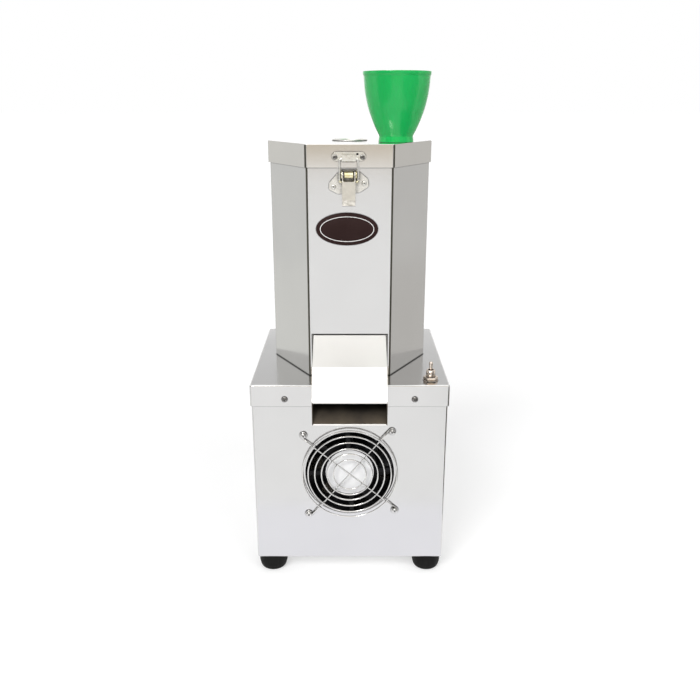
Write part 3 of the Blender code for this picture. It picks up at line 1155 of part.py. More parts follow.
def latch_lever(axis):
    """Folded channel handle: two flanges on the pin, a web in front and a lifted tab at the end."""
    at = (LATCH_X, TOWER_FRONT_Y - BAIL_OUT, PIVOT_Z)
    front = LEVER_DEPTH_FRONT
    back = -LEVER_DEPTH_BACK
    side = [(back, LEVER_HEAD), (back, -LEVER_LENGTH + LEVER_TAB), (front - LEVER_SHEET, -LEVER_LENGTH),
            (front + LEVER_TAB_LIFT - LEVER_SHEET, -LEVER_LENGTH - LEVER_TAB),
            (front + LEVER_TAB_LIFT, -LEVER_LENGTH - LEVER_TAB + LEVER_SHEET / 2),
            (front, -LEVER_LENGTH + LEVER_SHEET),
            (front, -LEVER_WEB_TOP), (LEVER_HEAD, -LEVER_WEB_TOP + LEVER_SHEET), (LEVER_HEAD, 0.0),
            (LEVER_HEAD / 2, LEVER_HEAD)]
    half = LEVER_WIDTH / 2
    handle = make("latch_lever", prism(side, -half, half, FROM_FRONT, at), "stainless", at, axis)
    hollow = [(back - OVERRUN, LEVER_HEAD + OVERRUN), (back - OVERRUN, -LEVER_LENGTH - LEVER_TAB - OVERRUN),
              (front - LEVER_SHEET, -LEVER_LENGTH - LEVER_TAB - OVERRUN),
              (front - LEVER_SHEET, -LEVER_WEB_TOP - GAP),
              (front + OVERRUN, -LEVER_WEB_TOP - GAP), (front + OVERRUN, LEVER_HEAD + OVERRUN)]
    cut(handle, prism(hollow, -half + LEVER_SHEET, half - LEVER_SHEET, FROM_FRONT, at))
    tools = [drill(PIVOT_PIN_RADIUS + GAP, -half - OVERRUN, half + OVERRUN, TO_SIDE, at),
             drill(BAIL_WIRE + GAP, -half - OVERRUN, half + OVERRUN, TO_SIDE, (at[0], at[1], BAIL_Z))]
    cut(handle, merged(tools))


def latch_bail(axis):
    """A bent wire: stubs into the lever, two legs up and a bar that lies in the hook."""
    at = (LATCH_X, TOWER_FRONT_Y - BAIL_OUT, BAIL_Z)
    leg = BAIL_WIDTH / 2 - BAIL_WIRE
    rise = BAR_Z - BAIL_Z
    stub = LEVER_WIDTH / 2 - LEVER_SHEET - BAIL_STUB_INSIDE
    foot = (leg - BAIL_STUB_BEND, BAIL_STUB_BEND)
    right = [(stub, 0.0), *arc(foot, BAIL_STUB_BEND, -math.pi / 2, math.pi / 2, BEND_STEPS),
             *arc((leg - BAIL_CORNER, rise - BAIL_CORNER), BAIL_CORNER, 0.0, math.pi / 2, BEND_STEPS)]
    path = right + [(-x, z) for x, z in reversed(right)]
    wire = swept([(x, z, 0.0) for x, z in path], BAIL_WIRE, BAIL_SIDES)
    make("latch_bail", set_up(wire, TO_FRONT, at), "chrome", at, axis)


def badge_plate():
    at = (BADGE_X, TOWER_FRONT_Y, LID_Z - BADGE_DROP)
    oval = scaled(circle(1, BADGE_STEPS), BADGE_WIDTH / 2, BADGE_HEIGHT / 2)
    face = scaled(circle(1, BADGE_STEPS), BADGE_WIDTH / 2 - BADGE_BEVEL, BADGE_HEIGHT / 2 - BADGE_BEVEL)
    high = GAP + BADGE_THICKNESS
    skin = [[(u, v, GAP) for u, v in oval], [(u, v, high - BADGE_BEVEL) for u, v in oval],
            [(u, v, high) for u, v in face]]
    make("badge_plate", set_up(loft(skin), TO_FRONT, at), "brown_plate", at)


def feed_cup(carrier):
    """A turned cup with a stepped foot, swelling to a flared rim."""
    at = (CUP_X, CENTRE_Y - CUP_FRONT, LID_Z + GAP)
    axis = axis_mark("cup_slide", at, carrier)
    outer = scaled(CUP_SHARES, CUP_RIM_RADIUS, CUP_HEIGHT)
    inner = [(radius - CUP_WALL, height) for radius, height in outer[3:-2:2]]
    inner = [(0.0, CUP_FLOOR), (outer[2][0] - CUP_WALL * 2, CUP_FLOOR)] + inner
    inner.append((outer[-3][0] - CUP_WALL, CUP_HEIGHT))
    profile = [(0.0, 0.0)] + outer + inner[::-1]
    make("feed_cup", turned(profile, UPRIGHT, at, ROUND_STEPS), "green_plastic", at, axis)


def build():
    for item in list(bpy.data.objects):
        bpy.data.objects.remove(item)
    base_shell()
    base_cover()
    cover_screws()
    feet()
    fan_frame()
    fan_rotor()
    fan_label()
    finger_guard()
    fan_screws()
    motor()
    capacitor()
    gland()
    toggle_switch()
    tower_shell()
    chamber_floor()
    shaft_seal()
    rotor()
    discharge_chute()
    lid_axis = axis_mark("lid_axis", (0.0, HINGE_Y, HINGE_Z))
    lid(lid_axis)
    feed_port_ring(lid_axis)
    hinge(lid_axis)
    strike(lid_axis)
    feed_cup(lid_axis)
    latch_base()
    lever_axis = axis_mark("lever_axis", (LATCH_X, TOWER_FRONT_Y - BAIL_OUT, PIVOT_Z))
    latch_lever(lever_axis)
    latch_bail(axis_mark("bail_axis", (LATCH_X, TOWER_FRONT_Y - BAIL_OUT, BAIL_Z), lever_axis))
    badge_plate()


build()
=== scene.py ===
from math import asin, atan2, cos, hypot, pi, radians, remainder, sin, tan, tau

import bmesh
import bpy
from mathutils import Matrix, Vector


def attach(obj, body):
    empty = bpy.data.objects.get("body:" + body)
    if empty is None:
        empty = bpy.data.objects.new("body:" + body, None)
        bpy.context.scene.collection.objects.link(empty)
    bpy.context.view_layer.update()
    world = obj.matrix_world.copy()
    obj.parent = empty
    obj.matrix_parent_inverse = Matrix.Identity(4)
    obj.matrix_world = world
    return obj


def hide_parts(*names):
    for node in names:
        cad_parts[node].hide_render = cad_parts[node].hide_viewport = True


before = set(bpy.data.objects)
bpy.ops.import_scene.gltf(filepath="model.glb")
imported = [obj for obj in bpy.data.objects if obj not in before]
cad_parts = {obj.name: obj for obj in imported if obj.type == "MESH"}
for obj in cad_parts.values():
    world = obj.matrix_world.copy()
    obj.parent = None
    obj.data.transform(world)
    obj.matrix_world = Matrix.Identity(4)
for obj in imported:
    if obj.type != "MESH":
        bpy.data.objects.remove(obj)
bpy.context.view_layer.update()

# The machine's main lines, in metres
SHEET = 0.0012
GAP = 0.0003
CENTRE_Y = 0.01235
CABINET_SIDE = 0.23
FRONT_Y = CENTRE_Y - CABINET_SIDE / 2
REAR_Y = CENTRE_Y + CABINET_SIDE / 2
CABINET_FLOOR = 0.022
CABINET_TOP = 0.2507
COVER_UNDER = 0.251
COVER_TOP = 0.2522
COVER_FLANGE = 0.026
TOWER_APOTHEM = 0.096 * cos(radians(30))
TOWER_FOOT = 0.2525
TOWER_HEAD = 0.5197
TOWER_FRONT = CENTRE_Y - TOWER_APOTHEM
LID_SHEET = 0.0008
LID_UNDER = 0.52
LID_TOP = 0.5208
SKIRT_FOOT = 0.4958
LID_GAP = 0.0014
FAN_HEIGHT = 0.139
FAN_FACE = SHEET + GAP
HUB_DROP = 0.001
DISC_FOOT = 0.261
FINGER_CIRCLE = 0.05
LATCH_X = -0.001
STRIKE_FACE = 0.0037
STRIKE_DROP = 0.0129
LATCH_AXIS_OUT = 0.00745
LEVER_AXIS = 0.4882
LOOP_AXIS = 0.481
LOOP_BAR = 0.50535
LOOP_WIRE = 0.00125

# How far a cutting shape runs past the face it cuts, on its short and its long side
SHORT_CUT = 0.004
LONG_CUT = 0.006

# Directions for shapes drawn flat: u, v, w to world axes
UPRIGHT = Matrix.Identity(4)
TO_FRONT = Matrix(((1, 0, 0, 0), (0, 0, -1, 0), (0, 1, 0, 0), (0, 0, 0, 1)))
TO_FAN = TO_FRONT @ Matrix.Rotation(radians(2.7), 4, "Z")
TO_REAR = Matrix(((-1, 0, 0, 0), (0, 0, 1, 0), (0, 1, 0, 0), (0, 0, 0, 1)))
TO_SIDE = Matrix(((0, 0, 1, 0), (1, 0, 0, 0), (0, 1, 0, 0), (0, 0, 0, 1)))
FROM_FRONT = Matrix(((0, 0, -1, 0), (-1, 0, 0, 0), (0, 1, 0, 0), (0, 0, 0, 1)))


def place(direction, x, y, z):
    """A direction and a position as one matrix."""
    return Matrix.Translation((x, y, z)) @ direction


def twisted(direction, twist):
    return direction @ Matrix.Rotation(twist, 4, "Z")


# Places
FAN = place(TO_FAN, 0.0, FRONT_Y, FAN_HEIGHT)
FAN_AXIS = place(TO_FRONT, 0.0, FRONT_Y, FAN_HEIGHT)
REAR = place(TO_REAR, 0.0, REAR_Y, 0.0)
GLAND = place(TO_REAR, 0.06, REAR_Y, CABINET_FLOOR + 0.04)
SWITCH = (0.0954, FRONT_Y + 0.0166, COVER_TOP)
ROTOR = place(UPRIGHT, 0.0, CENTRE_Y, DISC_FOOT)
COVER_SCREW_SIDES = (-0.076, 0.076)
COVER_SCREW_HEIGHT = 0.235
FAN_SPREAD = 0.0525
FEET = [(u, CENTRE_Y + v, 0.0) for u in (-0.097, 0.097) for v in (-0.097, 0.097)]
VENTS = [(side * 0.03, CABINET_FLOOR + 0.115 + row * 0.011) for row in range(6) for side in (-1, 1)]
VENT_REACH = 0.0185


# Outlines and solids

def bend(centre, radius, start, turn, steps):
    """Points along an arc, both ends included."""
    return [(centre[0] + radius * cos(start + turn * n / steps),
             centre[1] + radius * sin(start + turn * n / steps)) for n in range(steps + 1)]


def ring(radius, steps=96):
    """Points round a circle."""
    return bend((0.0, 0.0), radius, 0.0, tau, steps)[:-1]


def box_outline(half_u, half_v, centre=(0.0, 0.0)):
    u, v = centre
    return [(u - half_u, v - half_v), (u + half_u, v - half_v), (u + half_u, v + half_v), (u - half_u, v + half_v)]


def slot_outline(centre, reach, radius, steps):
    """A flat slot with round ends."""
    u, v = centre
    return bend((u + reach, v), radius, -pi / 2, pi, steps) + bend((u - reach, v), radius, pi / 2, pi, steps)


def hexagon(apothem):
    return ring(apothem / cos(radians(30)), 6)


def folded(corners, radius, steps=6):
    """An outline whose corners are bent at one radius, as a folder bends sheet."""
    outline = []
    for index, corner in enumerate(corners):
        here = Vector(corner)
        back = (Vector(corners[index - 1]) - here).normalized()
        ahead = (Vector(corners[(index + 1) % len(corners)]) - here).normalized()
        half = back.angle(ahead) / 2
        centre = here + (back + ahead).normalized() * radius / sin(half)
        start = here + back * radius / tan(half) - centre
        end = here + ahead * radius / tan(half) - centre
        first = atan2(start.y, start.x)
        outline += bend(centre, radius, first, remainder(atan2(end.y, end.x) - first, tau), steps)
    return outline


def at_height(outline, height):
    """An outline round the machine's middle, at a height."""
    return [(u, CENTRE_Y + v, height) for u, v in outline]


def rolled_edge(outline, fold, height, top):
    """Loops round a pressed top or bottom edge; the outline is drawn for each loop's inset."""
    loops = []
    for n in range(6):
        turn = pi / 2 * n / 5
        far, near = fold * (1 - cos(turn)), fold * (1 - sin(turn))
        loops.append(at_height(outline(far), height - near) if top else at_height(outline(near), height + far))
    return loops


def skin(loops, closed=False):
    """A surface over loops in step with each other, capped unless it closes on itself."""
    shape = bmesh.new()
    rings = [[shape.verts.new(point) for point in loop] for loop in loops]
    pairs = list(zip(rings, rings[1:]))
    if closed:
        pairs.append((rings[-1], rings[0]))
    for lower, upper in pairs:
        for n in range(len(lower)):
            after = (n + 1) % len(lower)
            shape.faces.new((lower[n], lower[after], upper[after], upper[n]))
    if not closed:
        shape.faces.new(reversed(rings[0]))
        shape.faces.new(rings[-1])
    return shape


def placed(shape, where):
    bmesh.ops.transform(shape, matrix=where, verts=shape.verts)
    return shape


def block(outline, low, high, where=UPRIGHT):
    """A flat outline given a thickness."""
    return placed(skin([[(u, v, w) for u, v in outline] for w in (low, high)]), where)


def rod(radius, low, high, where, steps=64):
    return block(ring(radius, steps), low, high, where)


def lathe(profile, where=UPRIGHT, steps=96):
    """A closed profile of radius and height, turned."""
    shape = bmesh.new()
    rings = []
    for radius, height in profile:
        points = [(0.0, 0.0)] if radius < 1e-9 else ring(radius, steps)
        rings.append([shape.verts.new((u, v, height)) for u, v in points])
    for here, after in zip(rings, rings[1:] + rings[:1]):
        if len(here) == 1 and len(after) == 1:
            continue
        for n in range(steps):
            corners = [here[n % len(here)], here[(n + 1) % steps % len(here)],
                       after[(n + 1) % steps % len(after)], after[n % len(after)]]
            shape.faces.new(list(dict.fromkeys(corners)))
    return placed(shape, where)


def smooth_profile(points, sharp=(), steps=5):
    """A profile drawn through its points as a curve, except at the corners named."""
    runs, run = [], [points[0]]
    for index in range(1, len(points)):
        run.append(points[index])
        if index in sharp or index == len(points) - 1:
            runs.append(run)
            run = [points[index]]
    smooth = [points[0]]
    for run in runs:
        ends = [run[0], *run, run[-1]]
        for n in range(1, len(run)):
            a, b, c, d = (Vector(ends[n + k - 1]) for k in range(4))
            for step in range(1, steps + 1):
                t = step / steps
                smooth.append(tuple((b * 2 + (c - a) * t + (a * 2 - b * 5 + c * 4 - d) * t * t
                                     + (b * 3 - a - c * 3 + d) * t * t * t) / 2))
    return smooth


def together(shapes):
    """Several separate shapes in one mesh."""
    whole = bmesh.new()
    for shape in shapes:
        bmesh.ops.recalc_face_normals(shape, faces=shape.faces)
        kept = bpy.data.meshes.new("kept")
        shape.to_mesh(kept)
        shape.free()
        whole.from_mesh(kept)
        bpy.data.meshes.remove(kept)
    return whole


# Objects

def linked(name, data):
    piece = bpy.data.objects.new(name, data)
    bpy.context.scene.collection.objects.link(piece)
    return piece


def drawn(name, shape):
    """An object of this shape, in place, with its faces outwards."""
    bmesh.ops.recalc_face_normals(shape, faces=shape.faces)
    data = bpy.data.meshes.new(name)
    shape.to_mesh(data)
    shape.free()
    return linked(name, data)


def set_mesh(piece):
    """The piece's modifiers become its mesh."""
    bpy.context.view_layer.update()
    graph = bpy.context.evaluated_depsgraph_get()
    data = bpy.data.meshes.new_from_object(piece.evaluated_get(graph), depsgraph=graph)
    old = piece.data
    piece.modifiers.clear()
    if piece.type == "MESH":
        piece.data = data
        if old.users == 0:
            bpy.data.meshes.remove(old)
        return piece
    solid = linked(piece.name + "_solid", data)
    bpy.data.objects.remove(piece)
    return solid


def joined(piece, shape, operation):
    """Adds, takes away or intersects a shape."""
    tool = drawn(piece.name + "_tool", shape)
    change = piece.modifiers.new("shape", "BOOLEAN")
    change.operation = operation
    change.solver = "EXACT"
    change.object = tool
    set_mesh(piece)
    bpy.data.objects.remove(tool)
    return piece


def cut(piece, shape):
    return joined(piece, shape, "DIFFERENCE")


def add(piece, shape):
    return joined(piece, shape, "UNION")


def weld(shape, distance=1e-6, flatten=False):
    """Joins points that coincide, and on request faces that lie in one plane."""
    bmesh.ops.remove_doubles(shape, verts=shape.verts, dist=distance)
    if flatten:
        bmesh.ops.dissolve_limit(shape, angle_limit=radians(0.6), verts=shape.verts, edges=shape.edges)


def reworked(piece, work):
    """Does some work on the piece's mesh."""
    shape = bmesh.new()
    shape.from_mesh(piece.data)
    work(shape)
    shape.to_mesh(piece.data)
    shape.free()
    return piece


def outward(piece):
    """Welds a closed piece and turns its faces outwards."""
    def turned(shape):
        weld(shape, 1e-7)
        bmesh.ops.recalc_face_normals(shape, faces=shape.faces)
    return reworked(piece, turned)


def edged(piece, width, steps=2, angle=30, merge=True):
    """Breaks the piece's edges and evens out its shading."""
    reworked(piece, lambda shape: weld(shape, flatten=merge))
    piece.data.shade_smooth()
    soft = piece.modifiers.new("edge", "BEVEL")
    soft.width = width
    soft.segments = steps
    soft.limit_method = "ANGLE"
    soft.angle_limit = radians(angle)
    soft.use_clamp_overlap = True
    soft.miter_outer = "MITER_ARC"
    even = piece.modifiers.new("even", "WEIGHTED_NORMAL")
    even.keep_sharp = False
    even.weight = 80
    return set_mesh(piece)


def rounded_shading(piece, angle):
    piece.data.shade_smooth()
    piece.data.set_sharp_from_angle(angle=radians(angle))
    return piece


def moved(piece, matrix):
    piece.data.transform(matrix)
    return piece


def finished(piece, look, body, *nodes, slot):
    """Gives a piece its material and its body, and hides the CAD nodes that it stands for."""
    piece.data.materials.clear()
    piece.data.materials.append(look)
    for face in piece.data.polygons:
        face.material_index = 0
    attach(piece, body)
    if nodes:
        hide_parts(*nodes)
    return piece


def dressed(name, shape, angle, *rest, slot):
    """A shape drawn, shaded up to an angle and finished."""
    return finished(rounded_shading(drawn(name, shape), angle), *rest, slot=slot)


def trimmed(piece, width, steps, angle, *rest, slot):
    """A piece with its edges broken, finished."""
    return finished(edged(piece, width, steps, angle), *rest, slot=slot)


def painted(piece, look, wanted):
    """Gives the piece one more material, on the faces wanted."""
    piece.data.materials.append(look)
    for face in piece.data.polygons:
        if wanted(face):
            face.material_index = len(piece.data.materials) - 1


def painted_fold_reflections(piece, start):
    """A dark painted reflection along each fold of a six-sided piece, on the facets of its bends."""
    def on_fold(face):
        x, y, _ = face.normal
        return hypot(x, y) > 0.9 and abs(remainder(atan2(y, x) - pi / 2, pi / 3)) > radians(start)
    painted(piece, FOLD_REFLECTION_PAINT, on_fold)


def from_node(name):
    """A welded copy of a CAD node's mesh, for shaping further."""
    shape = bmesh.new()
    shape.from_mesh(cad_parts[name].data)
    weld(shape, flatten=True)
    return drawn(name + "_sheet", shape)


# Materials

def grow(tree, kind, sockets, **settings):
    """Adds a node: a socket is linked where it is given another node's output, and otherwise set."""
    made = tree.nodes.new(kind)
    for name, value in settings.items():
        setattr(made, name, value)
    for name, value in sockets.items():
        if isinstance(value, bpy.types.NodeSocket):
            tree.links.new(value, made.inputs[name])
        else:
            made.inputs[name].default_value = value
    return made.outputs


def noise(tree, scale, stretch=(1.0, 1.0, 1.0), detail=3.0, rough=0.5):
    """Noise on the piece's own coordinates, stretched along the axes."""
    where = grow(tree, "ShaderNodeTexCoord", {})["Object"]
    turned = grow(tree, "ShaderNodeMapping", {"Vector": where, "Scale": stretch})["Vector"]
    return grow(tree, "ShaderNodeTexNoise",
                {"Vector": turned, "Scale": scale, "Detail": detail, "Roughness": rough})["Fac"]


def spread(tree, source, low, high, start=0.3, end=0.7):
    """Maps noise to a range of numbers."""
    return grow(tree, "ShaderNodeMapRange", {"Value": source, "From Min": start, "From Max": end,
                                             "To Min": low, "To Max": high})["Result"]


def mixed(tree, share, first, second):
    """Two colours mixed by a share; each is a colour or another node's output."""
    first, second = (c if isinstance(c, bpy.types.NodeSocket) else (*c, 1.0) for c in (first, second))
    return grow(tree, "ShaderNodeMix", {"Factor": share, "A": first, "B": second}, data_type="RGBA")["Result"]


def bump(tree, source, depth, strength, under=None):
    sockets = {"Height": source, "Distance": depth, "Strength": strength}
    if under is not None:
        sockets["Normal"] = under
    return grow(tree, "ShaderNodeBump", sockets)["Normal"]


def painted_crevice_shade(tree, unshaded, crevice_shade, reach):
    """Painted shade: darkens a colour where other surfaces come close, standing in for the shade that falls there."""
    near = grow(tree, "ShaderNodeAmbientOcclusion", {"Distance": reach}, samples=8)["AO"]
    return mixed(tree, spread(tree, near, 0.0, 1.0, 0.5, 0.85), crevice_shade, unshaded)


def scaled(colour, share):
    return tuple(c * share for c in colour)


def surfaced(name, values, build):
    """A material with these shader values, whose colour, roughness and normal come from the build function."""
    made = bpy.data.materials.new(name)
    made.use_nodes = True
    tree = made.node_tree
    shader = tree.nodes["Principled BSDF"]
    for socket, value in values.items():
        shader.inputs[socket].default_value = value
    for socket, source in zip(("Base Color", "Roughness", "Normal"), build(tree)):
        tree.links.new(source, shader.inputs[socket])
    return made


def coated(name, values, patch, colours, rough, relief, crevice_shade=None):
    """A surface clouded between two colours, unevenly rough, with a fine relief and perhaps painted shade in its
    crevices.
    """
    def build(tree):
        colour = mixed(tree, spread(tree, noise(tree, *patch), 0.0, 1.0), *colours)
        # Painted shade: a darker colour where other surfaces come close
        if crevice_shade:
            colour = painted_crevice_shade(tree, colour, *crevice_shade)
        grain, depth, strength = relief
        return (colour, spread(tree, noise(tree, rough[0]), *rough[1:]),
                bump(tree, noise(tree, *grain), depth, strength))
    return surfaced(name, values, build)


def sheet_steel(name, colour, rough, grain=(1.0, 1.0, 60.0), wave=0.00035):
    """Bright rolled stainless: faint rolling lines, soft clouding, the slow waves of thin sheet and painted shade in
    its crevices.
    """
    def build(tree):
        cloud = spread(tree, noise(tree, 14.0, detail=4.0), 0.0, 1.0)
        unshaded = mixed(tree, cloud, scaled(colour, 0.965), colour)
        lines = noise(tree, 60.0, grain, 2.0, 0.6)
        slow = bump(tree, noise(tree, 9.0, detail=1.0), wave, 1.0)
        # Painted shade: the colour darkens towards 5 % of itself where other surfaces come within 3.4 mm
        return (painted_crevice_shade(tree, unshaded, scaled(colour, 0.05), 0.0034),
                spread(tree, lines, rough * 0.8, rough * 1.3, 0.25, 0.75), bump(tree, lines, 0.000006, 0.4, slow))
    return surfaced(name, {"Metallic": 1.0}, build)


def stained_steel(name):
    """Dull steel inside the chute, browned by juice and skins, with painted shade that takes it to near black further
    in.
    """
    def build(tree):
        patch = spread(tree, noise(tree, 45.0, detail=5.0, rough=0.6), 0.0, 1.0)
        stain = mixed(tree, patch, (0.04, 0.03, 0.021), (0.1, 0.078, 0.052))
        where = grow(tree, "ShaderNodeTexCoord", {})["Object"]
        depth = spread(tree, grow(tree, "ShaderNodeSeparateXYZ", {"Vector": where})["Y"], 0.0, 1.0,
                       FRONT_Y - 0.039, FRONT_Y - 0.02)
        # Painted shade: the stain gives way to near black deeper in the chute
        return (mixed(tree, depth, stain, (0.004, 0.003, 0.002)), spread(tree, noise(tree, 90.0), 0.42, 0.62),
                bump(tree, noise(tree, 300.0), 0.00003, 0.5))
    return surfaced(name, {"Metallic": 0.55}, build)


def plated(name, colour, rough, reach=0.002):
    """Bright plating with a faint unevenness and painted shade in its grooves."""
    # Painted shade: darkens towards 8 % of the colour within reach of other surfaces
    return coated(name, {"Metallic": 1.0}, (260.0,), (scaled(colour, 0.9), colour),
                  (420.0, rough * 0.7, rough * 1.5), ((900.0,), 0.00001, 0.5), (scaled(colour, 0.08), reach))


def moulded(name, colour, rough, grain=1400.0, depth=0.00002, shine=0.5):
    """Moulded plastic, rubber or enamel with a fine skin texture."""
    second = tuple(min(1.0, c * 1.15 + 0.003) for c in colour)
    return coated(name, {"Specular IOR Level": shine}, (40.0,), (colour, second),
                  (220.0, rough - 0.08, rough + 0.08), ((grain,), depth, 0.6))


STEEL = sheet_steel("stainless_sheet", (0.7, 0.697, 0.692), 0.17)
STEEL_TOP = sheet_steel("stainless_cover", (0.71, 0.705, 0.7), 0.17, (60.0, 1.0, 1.0))
STEEL_LID = sheet_steel("stainless_lid", (0.74, 0.725, 0.7), 0.15, (60.0, 1.0, 1.0), 0.0002)
STEEL_CHUTE = sheet_steel("stainless_chute", (0.9, 0.885, 0.855), 0.38, (1.0, 60.0, 1.0), 0.0002)
CHROME = plated("bright_chrome", (0.8, 0.79, 0.77), 0.1)
WARM_PLATE = plated("warm_nickel", (0.92, 0.81, 0.71), 0.12)
LEVER_PLATE = plated("brushed_lever", (0.75, 0.72, 0.65), 0.4)
# Painted shade: a darker copy of the lever's plating, for its upturned tab
LEVER_TAB_SHADE = plated("lever_tab", (0.46, 0.44, 0.4), 0.55)
BAIL_WIRE = plated("pale_wire", (0.9, 0.89, 0.85), 0.32, 0.0008)
PALE_ZINC = plated("pale_zinc", (0.88, 0.87, 0.83), 0.3, 0.001)
# The hook and wing plates carry painted shade far out, darkening under the hook and the recess behind the lever
HOOK_PLATE = plated("hook_plate", (0.86, 0.85, 0.8), 0.3, 0.003)
WING_PLATE = plated("wing_plate", (0.88, 0.87, 0.83), 0.3, 0.008)
DARK_SCREW = plated("dark_screw", (0.27, 0.26, 0.25), 0.2, 0.0016)
BARE_STEEL = plated("plain_steel", (0.42, 0.42, 0.43), 0.35)
# Painted dark reflection for the folds of the tower and lid
FOLD_REFLECTION_PAINT = plated("fold_mark", (0.115, 0.11, 0.09), 0.42)
STAIN_AND_SHADE_STEEL = stained_steel("stained_steel")
# Yellow passivated zinc, going from straw to pale, with painted shade in its crevices
ZINC = coated("yellow_zinc", {"Metallic": 1.0}, (180.0, (1.0, 1.0, 1.0), 4.0),
              ((0.82, 0.72, 0.36), (0.88, 0.84, 0.66)), (500.0, 0.22, 0.42), ((1500.0,), 0.00001, 0.5),
              ((0.01, 0.008, 0.004), 0.003))
# Sheet scoured dull by the cloves, with painted shade in its crevices
WORN_STEEL = coated("worn_steel", {"Metallic": 0.45}, (40.0, (1.0, 1.0, 0.4), 5.0, 0.6),
                    ((0.44, 0.43, 0.41), (0.56, 0.55, 0.53)), (120.0, 0.38, 0.55),
                    ((200.0, (1.0, 1.0, 0.2)), 0.00002, 0.5), ((0.06, 0.05, 0.04), 0.004))
# Glossy green polypropylene, slightly see-through where it is thin
GREEN_CUP = coated("green_cup", {"Subsurface Weight": 0.15, "Subsurface Radius": (0.001, 0.004, 0.0015)}, (30.0,),
                   ((0.004, 0.455, 0.09), (0.006, 0.495, 0.104)), (160.0, 0.16, 0.26),
                   ((60.0, (1.0, 1.0, 2.5)), 0.0002, 0.5))
CAST = moulded("cast_paint", (0.006, 0.006, 0.007), 0.5, 700.0, 0.00006, 0.15)
MOTOR_PAINT = moulded("motor_paint", (0.07, 0.085, 0.1), 0.5, 900.0, 0.00005)
BLACK_PLASTIC = moulded("black_plastic", (0.005, 0.005, 0.006), 0.42, shine=0.15)
BLACK_RUBBER = moulded("black_rubber", (0.006, 0.0058, 0.0055), 0.6, 800.0, 0.00004, 0.12)
FOOD_RUBBER = moulded("food_rubber", (0.62, 0.58, 0.48), 0.55, 600.0, 0.00004)
WHITE_FILM = moulded("white_film", (0.86, 0.86, 0.87), 0.38, 2000.0, 0.000005)
BROWN_ENAMEL = moulded("brown_enamel", (0.026, 0.012, 0.011), 0.48, 900.0, 0.000005, 0.1)
PALE_ENAMEL = moulded("pale_enamel", (0.8, 0.79, 0.77), 0.35, 900.0, 0.000005)


# Trees of repeated and swept shapes

def new_tree(name, inputs):
    """A modifier's tree with its named inputs."""
    tree = bpy.data.node_groups.new(name, "GeometryNodeTree")
    tree.is_modifier = True
    for label, kind in {"Geometry": "Geometry", **inputs, "Material": "Material"}.items():
        tree.interface.new_socket(label, in_out="INPUT", socket_type="NodeSocket" + kind)
    tree.interface.new_socket("Geometry", in_out="OUTPUT", socket_type="NodeSocketGeometry")
    return tree, tree.nodes.new("NodeGroupInput").outputs


def close_tree(tree, source, given):
    """Instances made real, given their material and passed on."""
    real = grow(tree, "GeometryNodeRealizeInstances", {"Geometry": source})["Geometry"]
    paint = grow(tree, "GeometryNodeSetMaterial", {"Geometry": real, "Material": given["Material"]})
    grow(tree, "NodeGroupOutput", {"Geometry": paint["Geometry"]})
    return tree


def swept(tree, path, radius, sides, given):
    """A round section swept along a path, with its ends closed."""
    profile = grow(tree, "GeometryNodeCurvePrimitiveCircle", {"Radius": radius, "Resolution": sides})["Curve"]
    sweep = grow(tree, "GeometryNodeCurveToMesh", {"Curve": path, "Profile Curve": profile, "Fill Caps": True})
    return close_tree(tree, sweep["Mesh"], given)


def wire_tree():
    """Round wire along every path of the curve it is given."""
    tree, given = new_tree("wire_on_paths", {"Wire radius": "Float", "Sides": "Int"})
    return swept(tree, given["Geometry"], given["Wire radius"], given["Sides"], given)


def thread_tree():
    """A screw thread: a ridge of four sides wound on a helix."""
    tree, given = new_tree("wound_thread", {"Radius": "Float", "Length": "Float", "Turns": "Float",
                                            "Ridge": "Float"})
    helix = grow(tree, "GeometryNodeCurveSpiral", {
        "Resolution": 40, "Start Radius": given["Radius"], "End Radius": given["Radius"],
        "Height": given["Length"], "Rotations": given["Turns"]})["Curve"]
    return swept(tree, helix, given["Ridge"], 4, given)


def copies_tree(name, inputs, points_and_turn):
    """Copies of one shape at points, turned."""
    tree, given = new_tree(name, {"Shape": "Object", **inputs})
    points, turn = points_and_turn(tree, given)
    shape = grow(tree, "GeometryNodeObjectInfo", {"Object": given["Shape"]})["Geometry"]
    copies = grow(tree, "GeometryNodeInstanceOnPoints", {"Points": points, "Instance": shape, "Rotation": turn})
    return close_tree(tree, copies["Instances"], given)


def round_axis(tree, given):
    """Points on the upright axis, turned evenly round it."""
    points = grow(tree, "GeometryNodePoints", {"Count": given["Count"]})["Points"]
    index = grow(tree, "GeometryNodeInputIndex", {})["Index"]
    step = grow(tree, "ShaderNodeMath", {0: tau, 1: given["Count"]}, operation="DIVIDE")["Value"]
    angle = grow(tree, "ShaderNodeMath", {0: index, 1: step}, operation="MULTIPLY")["Value"]
    return points, grow(tree, "ShaderNodeCombineXYZ", {"Z": angle})["Vector"]


def at_vertices(tree, given):
    """A point at every vertex of the mesh that the tree is given."""
    return grow(tree, "GeometryNodeMeshToPoints", {"Mesh": given["Geometry"]})["Points"], (0.0, 0.0, 0.0)


WIRE = wire_tree()
THREAD = thread_tree()
ROUND = copies_tree("copies_round_axis", {"Count": "Int"}, round_axis)
PLACES = copies_tree("copies_at_places", {}, at_vertices)


def grown(piece, tree, values):
    """Runs a tree on a piece with these values and keeps the result as its mesh."""
    growth = piece.modifiers.new(tree.name, "NODES")
    growth.node_group = tree
    sockets = {item.name: item.identifier for item in tree.interface.items_tree
               if item.item_type == "SOCKET" and item.in_out == "INPUT"}
    for label, value in values.items():
        growth[sockets[label]] = value
    return set_mesh(piece)


